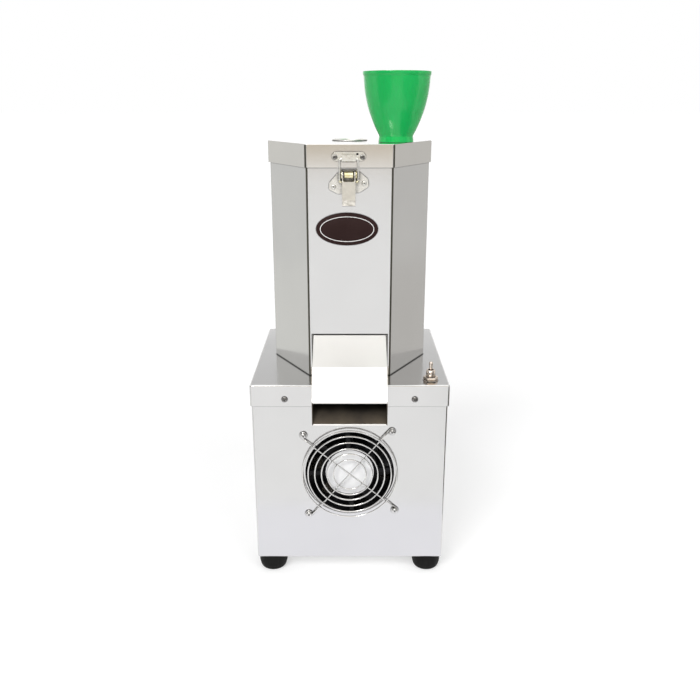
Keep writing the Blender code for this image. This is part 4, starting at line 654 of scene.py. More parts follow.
def wires(name, paths, radius, look, sides):
    """Round wire along paths, each given as its points and whether it is closed."""
    data = bpy.data.curves.new(name, "CURVE")
    data.dimensions = "3D"
    for points, closed in paths:
        line = data.splines.new("POLY")
        line.points.add(len(points) - 1)
        for slot, point in zip(line.points, points):
            slot.co = (*point, 1.0)
        line.use_cyclic_u = closed
    piece = grown(linked(name, data), WIRE, {"Wire radius": radius, "Sides": sides, "Material": look})
    return rounded_shading(outward(piece), 50)


def thread(name, radius, length, turns, ridge, look, at):
    """An upright thread ridge at a place."""
    piece = grown(drawn(name, bmesh.new()), THREAD,
                  {"Radius": radius, "Length": length, "Turns": turns, "Ridge": ridge, "Material": look})
    return outward(rounded_shading(moved(piece, Matrix.Translation(at)), 30))


def round_copies(name, shape_piece, count, look, where):
    """The same shape, evenly turned round an axis."""
    piece = grown(drawn(name, bmesh.new()), ROUND, {"Shape": shape_piece, "Count": count, "Material": look})
    bpy.data.objects.remove(shape_piece)
    return moved(piece, where)


def copies_at(name, shape_piece, places, look):
    """The same shape at each place."""
    dots = bmesh.new()
    for place in places:
        dots.verts.new(place)
    piece = grown(drawn(name, dots), PLACES, {"Shape": shape_piece, "Material": look})
    bpy.data.objects.remove(shape_piece)
    return piece


# Screws and nuts

def cross_screws(name, sizes, turned, places, look, body, *nodes, slot):
    """Pan-head screws with a cross recess, at places, the foot of each head at its place."""
    head, height, shank, length, slot_reach, slot_width = sizes
    shares = ((0.97, 0.0), (1.0, 0.12), (0.985, 0.34), (0.93, 0.56), (0.8, 0.78), (0.58, 0.93), (0.3, 0.99),
              (0.0, 1.0))
    stem = [(0.0, -length), (shank * 0.8, -length), (shank, -length + shank * 0.3), (shank, 0.0)]
    screw = drawn(name + "_shape", lathe(stem + [(head * u, height * v) for u, v in shares], steps=48))
    for turn in (0.0, pi / 2):
        loops = [[(u, v, height * depth) for u, v in
                  box_outline(slot_reach * share, slot_width / 2 * (0.7 + 0.3 * share))]
                 for depth, share in ((0.45, 0.42), (1.15, 1.0))]
        cut(screw, placed(skin(loops), Matrix.Rotation(turn, 4, "Z")))
    screws = copies_at(name, moved(screw, turned), places, look)
    finished(rounded_shading(screws, 32), look, body, *nodes, slot=slot)


def hex_nut(name, apothem, low, high, bore, where):
    """A nut with chamfered corners, bored through where it has a bore."""
    nut = drawn(name, block(hexagon(apothem), low, high, where))
    corner = apothem / cos(radians(30))
    drop = (corner - apothem) * 0.6
    keep = [(0.0, low), (apothem * 0.985, low), (corner * 1.02, low + drop), (corner * 1.02, high - drop),
            (apothem * 0.985, high), (0.0, high)]
    joined(nut, lathe(keep, where), "INTERSECT")
    if bore:
        cut(nut, rod(bore, low - SHORT_CUT, high + SHORT_CUT, where, 48))
    return edged(nut, 0.00012, 2, 28)


# Cabinet

def cover_screw_holes(low, high):
    return [rod(0.002, low, high, place(direction, u, face, COVER_SCREW_HEIGHT), 16)
            for u in COVER_SCREW_SIDES for direction, face in ((TO_FRONT, FRONT_Y), (TO_REAR, REAR_Y))]


def fan_screw_places(out):
    """The fan's four screws, on its slightly turned pattern."""
    return [FAN.translation + TO_FAN @ Vector((u, v, out))
            for u in (-FAN_SPREAD, FAN_SPREAD) for v in (-FAN_SPREAD, FAN_SPREAD)]


def cabinet_shell():
    reach = CABINET_SIDE / 2
    corner, fold = 0.002, 0.0016

    def wall(inset):
        return folded(box_outline(reach - inset, reach - inset), corner - inset, 8)

    loops = rolled_edge(wall, fold, CABINET_FLOOR, False) + [
        at_height(wall(0.0), CABINET_TOP), at_height(wall(SHEET), CABINET_TOP),
        at_height(wall(SHEET), CABINET_FLOOR + SHEET)]
    shell = drawn("cabinet_shell", skin(loops))
    cut(shell, rod(0.0535, -SHORT_CUT, LONG_CUT, FAN_AXIS, 160))
    holes = [rod(0.0023, -LONG_CUT, SHORT_CUT, place(TO_FRONT, *spot), 24) for spot in fan_screw_places(0.0)]
    holes += [block(slot_outline(vent, VENT_REACH, 0.0025, 10), -LONG_CUT, SHORT_CUT, REAR) for vent in VENTS]
    holes += cover_screw_holes(-LONG_CUT, 0.0001)
    holes += [rod(0.0028, -SHORT_CUT, LONG_CUT, place(UPRIGHT, x, y, CABINET_FLOOR), 16) for x, y, _ in FEET]
    holes.append(rod(0.0083, -LONG_CUT, SHORT_CUT, GLAND, 32))
    cut(shell, together(holes))
    trimmed(shell, 0.00012, 2, 40, STEEL, "cabinet", "base_shell", slot="stainless")


def vent_rims():
    """Pressed rims round the rear slots."""
    path = [(u, 0.0, v) for u, v in slot_outline((0.0, 0.0), VENT_REACH, 0.003, 12)]
    rim = wires("slot_rim", [(path, True)], 0.0005, STEEL, 8)
    rims = copies_at("vent_rims", rim, [(u, REAR_Y + 0.00005, v) for u, v in VENTS], STEEL)
    finished(rounded_shading(rims, 60), STEEL, "cabinet", slot="stainless")


def cabinet_cover():
    inside = CABINET_SIDE / 2 + GAP
    corner, fold = 0.001, 0.002
    low = COVER_TOP - COVER_FLANGE

    def wall(inset):
        reach = inside + SHEET - inset
        return folded(box_outline(reach, reach), corner + SHEET - inset, 10)

    inner = folded(box_outline(inside, inside), corner, 10)
    cover = drawn("cabinet_cover", skin([at_height(inner, COVER_UNDER), at_height(inner, low),
                                         at_height(wall(0.0), low)] + rolled_edge(wall, fold, COVER_TOP, True)))
    cut(cover, rod(0.016, -LONG_CUT, SHORT_CUT, place(UPRIGHT, 0.0, CENTRE_Y, COVER_TOP)))
    holes = [rod(0.0059, -LONG_CUT, SHORT_CUT, place(UPRIGHT, *SWITCH), 32)] + cover_screw_holes(-0.0002, SHORT_CUT)
    holes += [rod(0.0028, -LONG_CUT, SHORT_CUT, place(UPRIGHT, u, CENTRE_Y + v, COVER_TOP), 16)
              for u, v in bend((0.0, 0.0), 0.042, pi / 4, tau, 4)[:-1]]
    cut(cover, together(holes))
    trimmed(cover, 0.00015, 2, 40, STEEL_TOP, "cabinet", "base_cover", slot="stainless")


def cabinet_screws():
    seat = GAP + SHEET + GAP
    for name, direction, y, nodes in (
            ("front_cover_screws", TO_FRONT, FRONT_Y - seat, ("cover_screw_1", "cover_screw_2")),
            ("rear_cover_screws", TO_REAR, REAR_Y + seat, ("cover_screw_3", "cover_screw_4"))):
        cross_screws(name, (0.0035, 0.0021, 0.0017, 0.007, 0.0021, 0.0009), twisted(direction, 0.3),
                     [(u, y, COVER_SCREW_HEIGHT) for u in COVER_SCREW_SIDES], DARK_SCREW, "cabinet", *nodes,
                     slot="chrome")


def rubber_feet():
    stud_top, stud_radius = 0.0312, 0.0025
    profile = smooth_profile([(0.01, 0.0), (0.0118, 0.0002), (0.0152, 0.0022), (0.017, 0.007), (0.0177, 0.0126),
                              (0.0177, 0.0205), (0.0172, 0.0217)], sharp=(1, 5), steps=6)
    recess = [(0.0, 0.006), (0.0062, 0.006), (0.0066, 0.0052), (0.007, 0.0008), (0.0078, 0.0)]
    stud = [(stud_radius, 0.0217), (stud_radius, stud_top), (0.0, stud_top)]
    foot = drawn("foot_shape", lathe(recess + profile + stud, steps=72))
    feet = copies_at("rubber_feet", foot, FEET, BLACK_RUBBER)
    finished(rounded_shading(feet, 40), BLACK_RUBBER, "cabinet", "foot_1", "foot_2", "foot_3", "foot_4",
             slot="black_rubber")
    washer = drawn("washer_shape", lathe([(0.0, 0.0052), (0.003, 0.0052), (0.0032, 0.0048), (0.0058, 0.005),
                                          (0.006, 0.0059), (0.0, 0.0059)], steps=48))
    washers = copies_at("foot_washers", washer, FEET, BARE_STEEL)
    finished(rounded_shading(washers, 40), BARE_STEEL, "cabinet", slot="steel")


# Fan

def fan_housing():
    face, back = -FAN_FACE, -FAN_FACE - 0.038
    flange = 0.004
    plate = folded(box_outline(0.06, 0.06), 0.006, 8)
    housing = drawn("fan_housing", block(plate, face - flange, face, FAN))
    add(housing, rod(0.0592, back + 0.002, face - 0.002, FAN, 128))
    add(housing, block(plate, back, back + flange, FAN))
    bore = [(0.0, back - SHORT_CUT), (0.0575, back - SHORT_CUT), (0.0575, face - 0.006), (0.0578, face - 0.0035),
            (0.0586, face - 0.0012), (0.0596, face + 0.0002), (0.0596, face + SHORT_CUT), (0.0, face + SHORT_CUT)]
    cut(housing, lathe(bore, FAN, 128))
    hub = face - HUB_DROP
    add(housing, lathe([(0.0, hub - 0.01), (0.031, hub - 0.01), (0.031, hub - 0.001), (0.0302, hub), (0.0, hub)],
                       FAN))
    add(housing, together([block(box_outline(0.0175, 0.0025, (0.0408, 0.0)), hub - 0.0075, hub - 0.001,
                                 twisted(FAN, tau * n / 4)) for n in range(4)]))
    cut(housing, together([rod(0.0023, back - SHORT_CUT, face + SHORT_CUT, place(TO_FAN, *spot), 24)
                           for spot in fan_screw_places(0.0)] + [rod(0.0028, hub - 0.014, hub - 0.003, FAN, 24)]))
    trimmed(housing, 0.0003, 2, 40, CAST, "cabinet", "fan_frame", slot="cast")


def fan_wheel():
    front = -FAN_FACE - HUB_DROP - 0.01 - 0.0012
    rear = front - 0.021
    can = [(0.0, front + 0.007), (0.0022, front + 0.007), (0.0025, front + 0.0066), (0.0025, front), (0.0325, front),
           (0.0336, front - 0.0005), (0.034, front - 0.0016), (0.034, rear), (0.032, rear), (0.0, rear)]
    dressed("fan_hub", lathe(can, FAN_AXIS), 40, BLACK_PLASTIC, "fan", "fan_rotor", slot="black_plastic")
    root, tip = 0.0336, 0.0553
    spans, chord = 10, 12
    loops = []
    for span in range(spans + 1):
        share = span / spans
        radius = root + (tip - root) * share
        sweep = radians(38 - 9 * share)
        upper, lower = [], []
        for step in range(chord + 1):
            t = step / chord
            angle = -sweep / 2 + sweep * t + radians(8) * share
            depth = front - 0.0105 + 0.009 * cos(pi * t) * (1 - 0.1 * share)
            thick = (0.0004 + 0.0011 * sin(pi * min(1.0, t * 1.2 + 0.1)) ** 0.8) / radius
            upper.append((radius * cos(angle + thick), radius * sin(angle + thick), depth))
            lower.append((radius * cos(angle - thick), radius * sin(angle - thick), depth))
        loops.append(upper + lower[::-1])
    blade = rounded_shading(drawn("blade_shape", skin(loops)), 50)
    blades = outward(round_copies("fan_blades", blade, 7, BLACK_PLASTIC, FAN_AXIS))
    finished(blades, BLACK_PLASTIC, "fan", slot="black_plastic")


def hub_disc():
    """The plain white disc on the fan's hub."""
    low = -FAN_FACE - HUB_DROP + GAP
    high = low + 0.0004
    profile = [(0.0, low), (0.029, low), (0.029, low + 0.0003), (0.0288, high), (0.0, high)]
    dressed("hub_disc", lathe(profile, FAN_AXIS), 30, WHITE_FILM, "cabinet", "fan_label", slot="white_paper")


def wire_guard():
    """Six rings on two crossed wires, whose ends bend into open eyes round the fan's screws."""
    radius = 0.0009
    paths = [([(u, FRONT_Y - 0.0048, FAN_HEIGHT + v) for u, v in ring(size, 120)], True)
             for size in (0.057, 0.05, 0.042, 0.034, 0.027, 0.0195)]
    reach = hypot(FAN_SPREAD, FAN_SPREAD)
    eye, slope = 0.0036, 0.006
    lean = asin(eye / reach)
    tangent = reach * cos(lean)
    high, low = 0.0034, GAP + radius
    half = []
    for n in range(9):
        t = n / 8
        half.append((tangent - eye - slope + slope * t, 0.0, high + (low - high) * t * t * (3 - 2 * t)))
    half += [(u, v, low) for u, v in bend((tangent, -eye), eye, pi / 2, -radians(285), 28)]
    path = [(-u, -v, w) for u, v, w in reversed(half)] + half
    for turn in (pi / 4, pi * 3 / 4):
        matrix = twisted(FAN, turn + lean)
        paths.append(([tuple(matrix @ Vector(point)) for point in path], False))
    finished(wires("wire_guard", paths, radius, CHROME, 14), CHROME, "cabinet", "finger_guard", slot="chrome")


def fan_bolts():
    wire = 0.0018
    cross_screws("fan_bolts", (0.0033, 0.0024, 0.002, 0.008, 0.0021, 0.0009), twisted(TO_FRONT, 0.5),
                 fan_screw_places(GAP + wire + GAP), CHROME, "cabinet", "fan_screw_1", "fan_screw_2",
                 "fan_screw_3", "fan_screw_4", slot="chrome")


# Rear gland and switch

def cable_gland():
    top = GAP + 0.004
    thread_top = top + 0.0065
    body = hex_nut("gland_seat", 0.011, GAP, top, 0.0, GLAND)
    add(body, rod(0.008, -SHEET - 0.007, thread_top, GLAND, 48))
    cut(body, rod(0.0045, -SHEET - 0.011, top + 0.011, GLAND, 40))
    finished(rounded_shading(body, 32), BLACK_PLASTIC, "cabinet", "gland_body", slot="black_plastic")
    low = top + GAP
    high = low + 0.01
    dome = hex_nut("gland_cap", 0.01, low, high - 0.0033, 0.0, GLAND)
    crown = smooth_profile([(0.0097, low + 0.002), (0.0097, high - 0.003), (0.0094, high - 0.0016),
                            (0.0084, high - 0.0004), (0.0075, high)], sharp=(1,), steps=4)
    add(dome, lathe([(0.0, low + 0.002)] + crown + [(0.0, high)], GLAND, 72))
    bore = [(0.0, low - SHORT_CUT), (0.0083, low - SHORT_CUT), (0.0083, thread_top + GAP), (0.0045, thread_top + GAP),
            (0.0045, high - 0.001), (0.0052, high + 0.0002), (0.0052, high + SHORT_CUT), (0.0, high + SHORT_CUT)]
    cut(dome, lathe(bore, GLAND, 48))
    trimmed(dome, 0.0001, 1, 40, BLACK_PLASTIC, "cabinet", "gland_dome_nut", slot="black_plastic")


def toggle():
    under = -SHEET - GAP
    top = 0.013
    washer_top = GAP + 0.0008
    x, y, z = SWITCH
    where = place(UPRIGHT, x, y, z)
    case = drawn("switch_case", block(folded(box_outline(0.008, 0.011), 0.001, 4), under - 0.018, under, where))
    trimmed(case, 0.0003, 2, 30, BLACK_PLASTIC, "cabinet", "switch_body", slot="black_plastic")
    barrel = [(0.0, under), (0.0053, under), (0.0053, 0.0124), (0.0049, top), (0.0034, top), (0.0034, 0.0068),
              (0.0, 0.0068)]
    dressed("switch_bushing", lathe(barrel, where, 64), 32, WARM_PLATE, "cabinet", slot="chrome")
    spiral = thread("switch_thread", 0.00522, 0.0075, 10.0, 0.00035, WARM_PLATE, (x, y, z + 0.0045))
    finished(spiral, WARM_PLATE, "cabinet", slot="chrome")
    washer = [(0.0059, GAP), (0.00885, GAP), (0.00885, GAP + 0.0006), (0.0086, washer_top), (0.0059, washer_top)]
    dressed("tooth_washer", lathe(washer, where, 64), 32, WARM_PLATE, "cabinet", "switch_washer", slot="chrome")
    low = washer_top + GAP
    nut = hex_nut("switch_ring_nut", 0.0075, low, low + 0.0034, 0.0059, where)
    finished(nut, WARM_PLATE, "cabinet", "switch_nut", slot="chrome")
    drop, ball = 0.003, 0.0029
    span = 0.0227 - top + drop
    bat = smooth_profile([(0.0015, 0.0026), (0.00165, 0.0038), (0.00185, 0.0056), (0.00212, 0.0086),
                          (0.00226, 0.0106), (0.0022, 0.0118), (0.00165, span - 0.0002), (0.0, span)])
    stem = [(max(0.0, u), v) for u, v in bend((0.0, 0.0), ball, -pi / 2, pi * 3 / 4, 8) if v < 0.0022] + bat
    stem[0] = (0.0, stem[0][1])
    stem[-1] = (0.0, span)
    dressed("switch_bat", lathe(stem, place(UPRIGHT, x, y, z + top - drop), 48), 50, WARM_PLATE, "toggle",
            "switch_lever", slot="chrome")


# Tower and what turns in it

def tower():
    bend_radius = 0.0034
    outer, inner, lip = (folded(hexagon(TOWER_APOTHEM - inset), radius, 8) for inset, radius in (
        (0.0, bend_radius), (SHEET, bend_radius - SHEET), (SHEET + 0.014, bend_radius - SHEET)))
    walls = drawn("tower_walls", skin([
        at_height(outer, TOWER_FOOT), at_height(outer, TOWER_HEAD), at_height(inner, TOWER_HEAD),
        at_height(inner, TOWER_FOOT + SHEET), at_height(lip, TOWER_FOOT + SHEET), at_height(lip, TOWER_FOOT)],
        closed=True))
    low = COVER_TOP + 0.0104 - 0.001
    high = COVER_TOP + 0.051 + 0.0013
    opening = box_outline(0.0425 + 0.0024, (high - low) / 2, (0.0, (high + low) / 2))
    cut(walls, block(opening, -LONG_CUT, SHORT_CUT, place(TO_FRONT, 0.0, TOWER_FRONT, 0.0)))
    trimmed(walls, 0.00012, 2, 40, STEEL, "cabinet", "tower_shell", slot="stainless")
    # Painted dark reflection along the tower's folds
    painted_fold_reflections(walls, 8)
    painted(walls, WORN_STEEL, lambda face: face.normal.x * face.center.x
            + face.normal.y * (face.center.y - CENTRE_Y) < -0.01)


def turning_parts():
    edge, top = 0.0006, 0.003
    rim, bore = 0.075, 0.0053
    plate = drawn("peeler_disc", lathe([(bore, 0.0), (rim - edge, 0.0), (rim, edge), (rim, top - edge),
                                        (rim - edge, top), (bore, top)], ROTOR, 160))
    cut(plate, together([rod(0.0038, -SHORT_CUT, top + SHORT_CUT, place(UPRIGHT, u, CENTRE_Y + v, DISC_FOOT), 24)
                         for u, v in ring(FINGER_CIRCLE, 4)]))
    trimmed(plate, 0.0001, 1, 30, STEEL_TOP, "rotor", "peeling_disc", slot="stainless")
    profile = [(0.0, 0.0), (0.0035, 0.0), (0.0035, 0.0033), (0.009, 0.0033), (0.009, 0.0046), (0.0084, 0.0056),
               (0.0066, 0.0063)]
    ribs, root, tip = 9, 0.0063, 0.0048
    for n in range(ribs * 4 + 1):
        share = n / (ribs * 4)
        profile.append((root + (tip - root) * share + 0.00035 * cos(tau * ribs * share), 0.0066 + 0.033 * share))
    profile += bend((0.0, 0.0405), tip, 0.0, pi / 2, 8)[:-1] + [(0.0, 0.0453)]
    finger = moved(drawn("finger_shape", lathe(profile, steps=40)), place(UPRIGHT, FINGER_CIRCLE, 0.0, 0.0))
    fingers = round_copies("peeler_fingers", finger, 4, FOOD_RUBBER, ROTOR)
    finished(rounded_shading(fingers, 40), FOOD_RUBBER, "rotor", "peeling_finger_1", "peeling_finger_2",
             "peeling_finger_3", "peeling_finger_4", slot="food_rubber")
    nut = hex_nut("dome_nut", 0.0085, 0.0033, 0.0093, 0.0, ROTOR)
    dome = [(0.0082 * u, 0.0075 + 0.0078 * v) for u, v in bend((0.0, 0.0), 1.0, 0.0, pi / 2, 10)[:-1]]
    add(nut, lathe([(0.0, 0.0036), (0.0082, 0.0036)] + dome + [(0.0, 0.0153)], ROTOR, 64))
    trimmed(nut, 0.0001, 1, 30, CHROME, "rotor", "rotor_hub_nut", slot="chrome")


def chute_middle(y):
    """Height midway between the chute's plates at a depth."""
    line = ((-0.0393, -0.0198), (-0.015, 0.0078), (-0.0019, 0.017), (0.0316, 0.0307), (0.04, 0.0307))
    depth = y - FRONT_Y
    for (near, low), (far, high) in zip(line, line[1:]):
        if depth <= far:
            break
    return COVER_TOP + low + (high - low) * (depth - near) / (far - near)


def inside_chute(face):
    x, y, z = face.center
    if abs(face.normal.x) > 0.5:
        return face.normal.x * x < 0 and abs(x) > 0.04
    if face.normal.y < -0.5 and y < FRONT_Y - 0.03:
        return abs(x) > 0.0408
    return abs(face.normal.z) > 0.2 and (face.normal.z < 0) == (z > chute_middle(y))


def chute():
    """The folded duct, its inner faces stained by the cloves and darkened further in by painted shade."""
    duct = reworked(from_node("discharge_chute"), lambda shape: bmesh.ops.triangulate(
        shape, faces=[face for face in shape.faces if abs(face.normal.y) > 0.9]))
    finished(edged(duct, 0.0004, 3, 12, merge=False), STEEL_CHUTE, "cabinet", "discharge_chute", slot="stainless")
    painted(duct, STAIN_AND_SHADE_STEEL, inside_chute)


# Lid

def lid_cap():
    apothem = TOWER_APOTHEM + LID_GAP
    radius = 0.0022 + LID_GAP

    def wall(inset):
        return folded(hexagon(apothem + LID_SHEET - inset), radius + LID_SHEET - inset, 8)

    inner = folded(hexagon(apothem), radius, 8)
    cap = drawn("lid_cap", skin([at_height(inner, LID_UNDER), at_height(inner, SKIRT_FOOT),
                                 at_height(wall(0.0), SKIRT_FOOT)] + rolled_edge(wall, 0.001, LID_TOP, True)))
    where = place(UPRIGHT, 0.0, CENTRE_Y, LID_TOP)
    cut(cap, rod(0.0203, -0.005, SHORT_CUT, where, 96))
    trimmed(cap, 0.00012, 2, 40, STEEL_LID, "lid", "lid", slot="stainless")
    # Painted dark reflection along the lid's folds
    painted_fold_reflections(cap, 14)
    profile = [(0.0186, -0.006), (0.02, -0.006), (0.02, GAP)]
    profile += smooth_profile([(0.0212, GAP), (0.0212, 0.0008), (0.0208, 0.0013), (0.0199, 0.0015), (0.0189, 0.0013),
                               (0.0186, 0.0008)])
    dressed("port_collar", lathe(profile, where), 50, STEEL_CHUTE, "lid", "feed_port_ring", slot="stainless")


def rear_hinge():
    axis_out, axis_rise = 0.0064, 0.0029
    axis = place(TO_SIDE, 0.0, TOWER_FRONT + TOWER_APOTHEM * 2 + axis_out, SKIRT_FOOT + axis_rise)
    half, pitch = 0.03, 0.012
    barrel, pin = 0.0036, 0.002

    def leaf(name, plate, web, knuckles, body, node):
        piece = drawn(name, block(plate, -half, half, axis))
        for n in knuckles:
            low, high = -half + n * pitch + GAP / 2, -half + (n + 1) * pitch - GAP / 2
            add(piece, block(web, low, high, axis))
            add(piece, rod(barrel, low, high, axis, 48))
        cut(piece, rod(pin + GAP, -half - SHORT_CUT, half + SHORT_CUT, axis, 32))
        trimmed(piece, 0.00015, 2, 28, STEEL, body, node, slot="stainless")

    near = -axis_out + LID_GAP + LID_SHEET + GAP
    far = near + SHEET
    leaf("hinge_upper", [(near, 0.0042), (far, 0.0042), (far, 0.018), (near, 0.018)],
         [(near, 0.0), (far, 0.0), (far, 0.0084), (near, 0.0084)], (1, 3), "lid", "hinge_leaf_lid")
    near = -axis_out + GAP
    far = near + SHEET
    top = -axis_rise - 0.004
    leaf("hinge_lower", [(near, top - 0.024), (far, top - 0.024), (far, top), (near, top)],
         [(near, top - SHEET), (far, top - SHEET * 2), (-SHEET / 2, -barrel + SHEET / 2), (-barrel / 2, -barrel / 2)],
         (0, 2, 4), "cabinet", "hinge_leaf_tower")
    rod_pin = drawn("hinge_rod", rod(pin, -half, half, axis, 32))
    trimmed(rod_pin, 0.0004, 3, 30, BARE_STEEL, "cabinet", "hinge_pin", slot="steel")


# Latch

def latch_plates():
    at = (LATCH_X, TOWER_FRONT, LID_TOP - STRIKE_DROP)
    back = 0.0025
    sheet = 0.0011
    shares = ((-1.0, 0.0), (-0.8, -1.0), (0.8, -1.0), (1.0, 0.0), (0.8, 1.0), (-0.8, 1.0))
    outline = folded([(u * 0.0194, v * 0.00465) for u, v in shares], 0.002, 6)
    plate = drawn("strike_plate", block(outline, back, STRIKE_FACE, place(TO_FRONT, *at)))
    inside = LATCH_AXIS_OUT + LOOP_WIRE + 0.00075
    outside = inside + sheet
    base = STRIKE_DROP - 0.0181
    floor, tip = base + sheet, STRIKE_DROP - 0.0115
    root = STRIKE_FACE - 0.0006
    outer, inner = 0.0014, 0.0004
    hook = [(root, base)] + bend((outside - outer, base + outer), outer, -pi / 2, pi / 2, 6)
    hook += [(outside, tip), (inside, tip)] + bend((inside - inner, floor + inner), inner, 0.0, -pi / 2, 4)
    hook += [(root, floor)]
    add(plate, block(hook, -0.0077, 0.0077, place(FROM_FRONT, *at)))
    rivets = [(LATCH_X + u, LID_TOP - 0.0138) for u in (-0.015, 0.015)]
    eyelet = (LATCH_X + 0.0094, LID_TOP - STRIKE_DROP + 0.0023)
    cut(plate, together([rod(radius, back - SHORT_CUT, STRIKE_FACE + SHORT_CUT, place(TO_FRONT, x, TOWER_FRONT, z),
                             steps) for radius, steps, (x, z) in (
                                 (0.0017, 24, rivets[0]), (0.0017, 24, rivets[1]), (0.0013, 20, eyelet))]))
    trimmed(plate, 0.00018, 2, 28, HOOK_PLATE, "lid", "latch_strike", slot="stainless")
    cross_screws("strike_screws", (0.0025, 0.0012, 0.0014, 0.0026, 0.0015, 0.0006), twisted(TO_FRONT, 0.4),
                 [(x, TOWER_FRONT - STRIKE_FACE - GAP, z) for x, z in rivets], DARK_SCREW, "lid",
                 "strike_rivet_1", "strike_rivet_2", slot="steel")


def latch_mount():
    front, side = (place(way, LATCH_X, TOWER_FRONT, LEVER_AXIS) for way in (TO_FRONT, FROM_FRONT))
    face = GAP + SHEET
    root, ear, roll = 0.0009, 0.0043, 0.0034
    shares = ((-1.0, -0.76), (-0.55, -1.0), (0.55, -0.92), (1.0, -0.62),
              (0.96, -0.22), (0.42, 0.24), (-0.42, 0.24), (-0.98, -0.42))
    outline = folded([(u * 0.022, v * 0.021) for u, v in shares], 0.002, 6)
    plate = drawn("latch_wing_plate", block(outline, GAP, face, front))
    ear_in, ear_out = 0.00755, 0.00855
    axis = (LATCH_AXIS_OUT, 0.0)
    lug = [(root, -ear)] + bend(axis, ear, -pi / 2, pi, 20) + [(root, ear)]
    add(plate, together([block(lug, ear_in, ear_out, side), block(lug, -ear_out, -ear_in, side)]))
    knuckle = [(root, 0.0008)] + bend(axis, roll, -pi * 3 / 4, pi * 5 / 4, 24) + [(root, roll)]
    add(plate, block(knuckle, -0.00475, 0.00475, side))
    pin = place(TO_SIDE, LATCH_X, TOWER_FRONT - LATCH_AXIS_OUT, LEVER_AXIS)
    cut(plate, rod(0.0016, -ear_out - SHORT_CUT, ear_out + SHORT_CUT, pin, 24))
    rivets = [(LATCH_X - 0.017, LEVER_AXIS - 0.0132), (LATCH_X + 0.017, LEVER_AXIS - 0.0094)]
    cut(plate, together([rod(0.0017, -SHORT_CUT, face + SHORT_CUT, place(TO_FRONT, x, TOWER_FRONT, z), 24)
                         for x, z in rivets]))
    trimmed(plate, 0.00018, 2, 28, WING_PLATE, "cabinet", "latch_base", slot="zinc")
    painted(plate, ZINC, lambda facet: facet.center.y < TOWER_FRONT - face - 0.0006
            and abs(facet.center.x - LATCH_X) < 0.009)
    axle = drawn("latch_axle", rod(0.0013, -ear_out, ear_out, pin, 24))
    trimmed(axle, 0.0002, 2, 30, BARE_STEEL, "cabinet", "latch_pivot_pin", slot="steel")
    cross_screws("latch_screws", (0.0025, 0.0012, 0.0014, 0.0033, 0.0015, 0.0006), twisted(TO_FRONT, 0.9),
                 [(x, TOWER_FRONT - face - GAP, z) for x, z in rivets], PALE_ZINC, "cabinet", "base_rivet_1",
                 "base_rivet_2", slot="steel")


def latch_handle():
    handle = trimmed(from_node("latch_lever"), 0.0003, 3, 20, LEVER_PLATE, "latch_handle", "latch_lever",
                     slot="stainless")
    # Painted shade on the lever's lower tab
    painted(handle, LEVER_TAB_SHADE, lambda facet: facet.center.z < LEVER_AXIS - 0.0266)
    leg = 0.0227 / 2 - LOOP_WIRE
    rise = LOOP_BAR - LOOP_AXIS
    stub = 0.00725 - 0.001 - 0.0015
    turn, corner = LOOP_WIRE * 1.2, 0.0026
    right = [(stub, 0.0), *bend((leg - turn, turn), turn, -pi / 2, pi / 2, 8),
             *bend((leg - corner, rise - corner), corner, 0.0, pi / 2, 10)]
    matrix = place(TO_FRONT, LATCH_X, TOWER_FRONT - LATCH_AXIS_OUT, LOOP_AXIS)
    path = [tuple(matrix @ Vector((x, z, 0.0))) for x, z in right + [(-x, z) for x, z in reversed(right)]]
    loop = wires("latch_loop_wire", [(path, False)], LOOP_WIRE, BAIL_WIRE, 20)
    finished(loop, BAIL_WIRE, "latch_loop", "latch_bail", slot="chrome")
    painted(loop, ZINC, lambda facet: facet.center.z < LEVER_AXIS + 0.001)


# Trim and cup

def blank_badge():
    """A plain enamelled oval with a thin pale line inside its edge."""
    where = place(TO_FRONT, -0.003, TOWER_FRONT, LID_TOP - 0.0928)
    high = GAP + 0.001

    def oval(half_u, half_v, height):
        return [(u * half_u, v * half_v, height) for u, v in ring(1.0, 120)]

    edge = [oval(0.035 - inset, 0.01835 - inset, height) for inset, height in (
        (0.0, GAP), (0.0, high - 0.0004), (0.00012, high - 0.00015), (0.0004, high))]
    dressed("oval_plate", placed(skin(edge), where), 40, BROWN_ENAMEL, "cabinet", "badge_plate", slot="brown_plate")
    half, under, over = 0.0004, high - 0.0001, high + 0.00004
    line = [oval(0.0302 + width, 0.0139 + width, height) for width, height in (
        (half, under), (half, over), (-half, over), (-half, under))]
    dressed("oval_line", placed(skin(line, closed=True), where), 30, PALE_ENAMEL, "cabinet", slot="white_paper")


def measuring_cup():
    where = place(UPRIGHT, 0.053, CENTRE_Y - 0.038, LID_TOP + GAP)
    radius, height, wall, floor = 0.0384, 0.0756, 0.0014, 0.0075

    def in_size(shares):
        return [(u * radius, v * height) for u, v in shares]

    outer = in_size([(0.523, 0.0), (0.505, 0.081), (0.513, 0.095), (0.63, 0.212), (0.734, 0.337), (0.844, 0.5),
                     (0.917, 0.661), (0.958, 0.807), (0.977, 0.939)])
    side = smooth_profile(outer, sharp=(1, 2), steps=6)
    rim = in_size([(0.997, 0.955), (1.0, 0.966), (1.0, 0.99), (0.993, 1.0), (0.957, 1.0), (0.95, 0.993)])
    inner = [(u - wall, v) for u, v in side if v > 0.0125]
    foot = [(0.0, 0.001), (0.017, 0.001), (0.0176, 0.0)]
    bottom = [(outer[2][0] - wall * 2, floor + 0.001), (outer[2][0] - wall * 2.6, floor), (0.0, floor)]
    dressed("green_cup_body", lathe(foot + side + rim + inner[::-1] + bottom, where, 128), 40, GREEN_CUP, "cup",
            "feed_cup", slot="green_plastic")


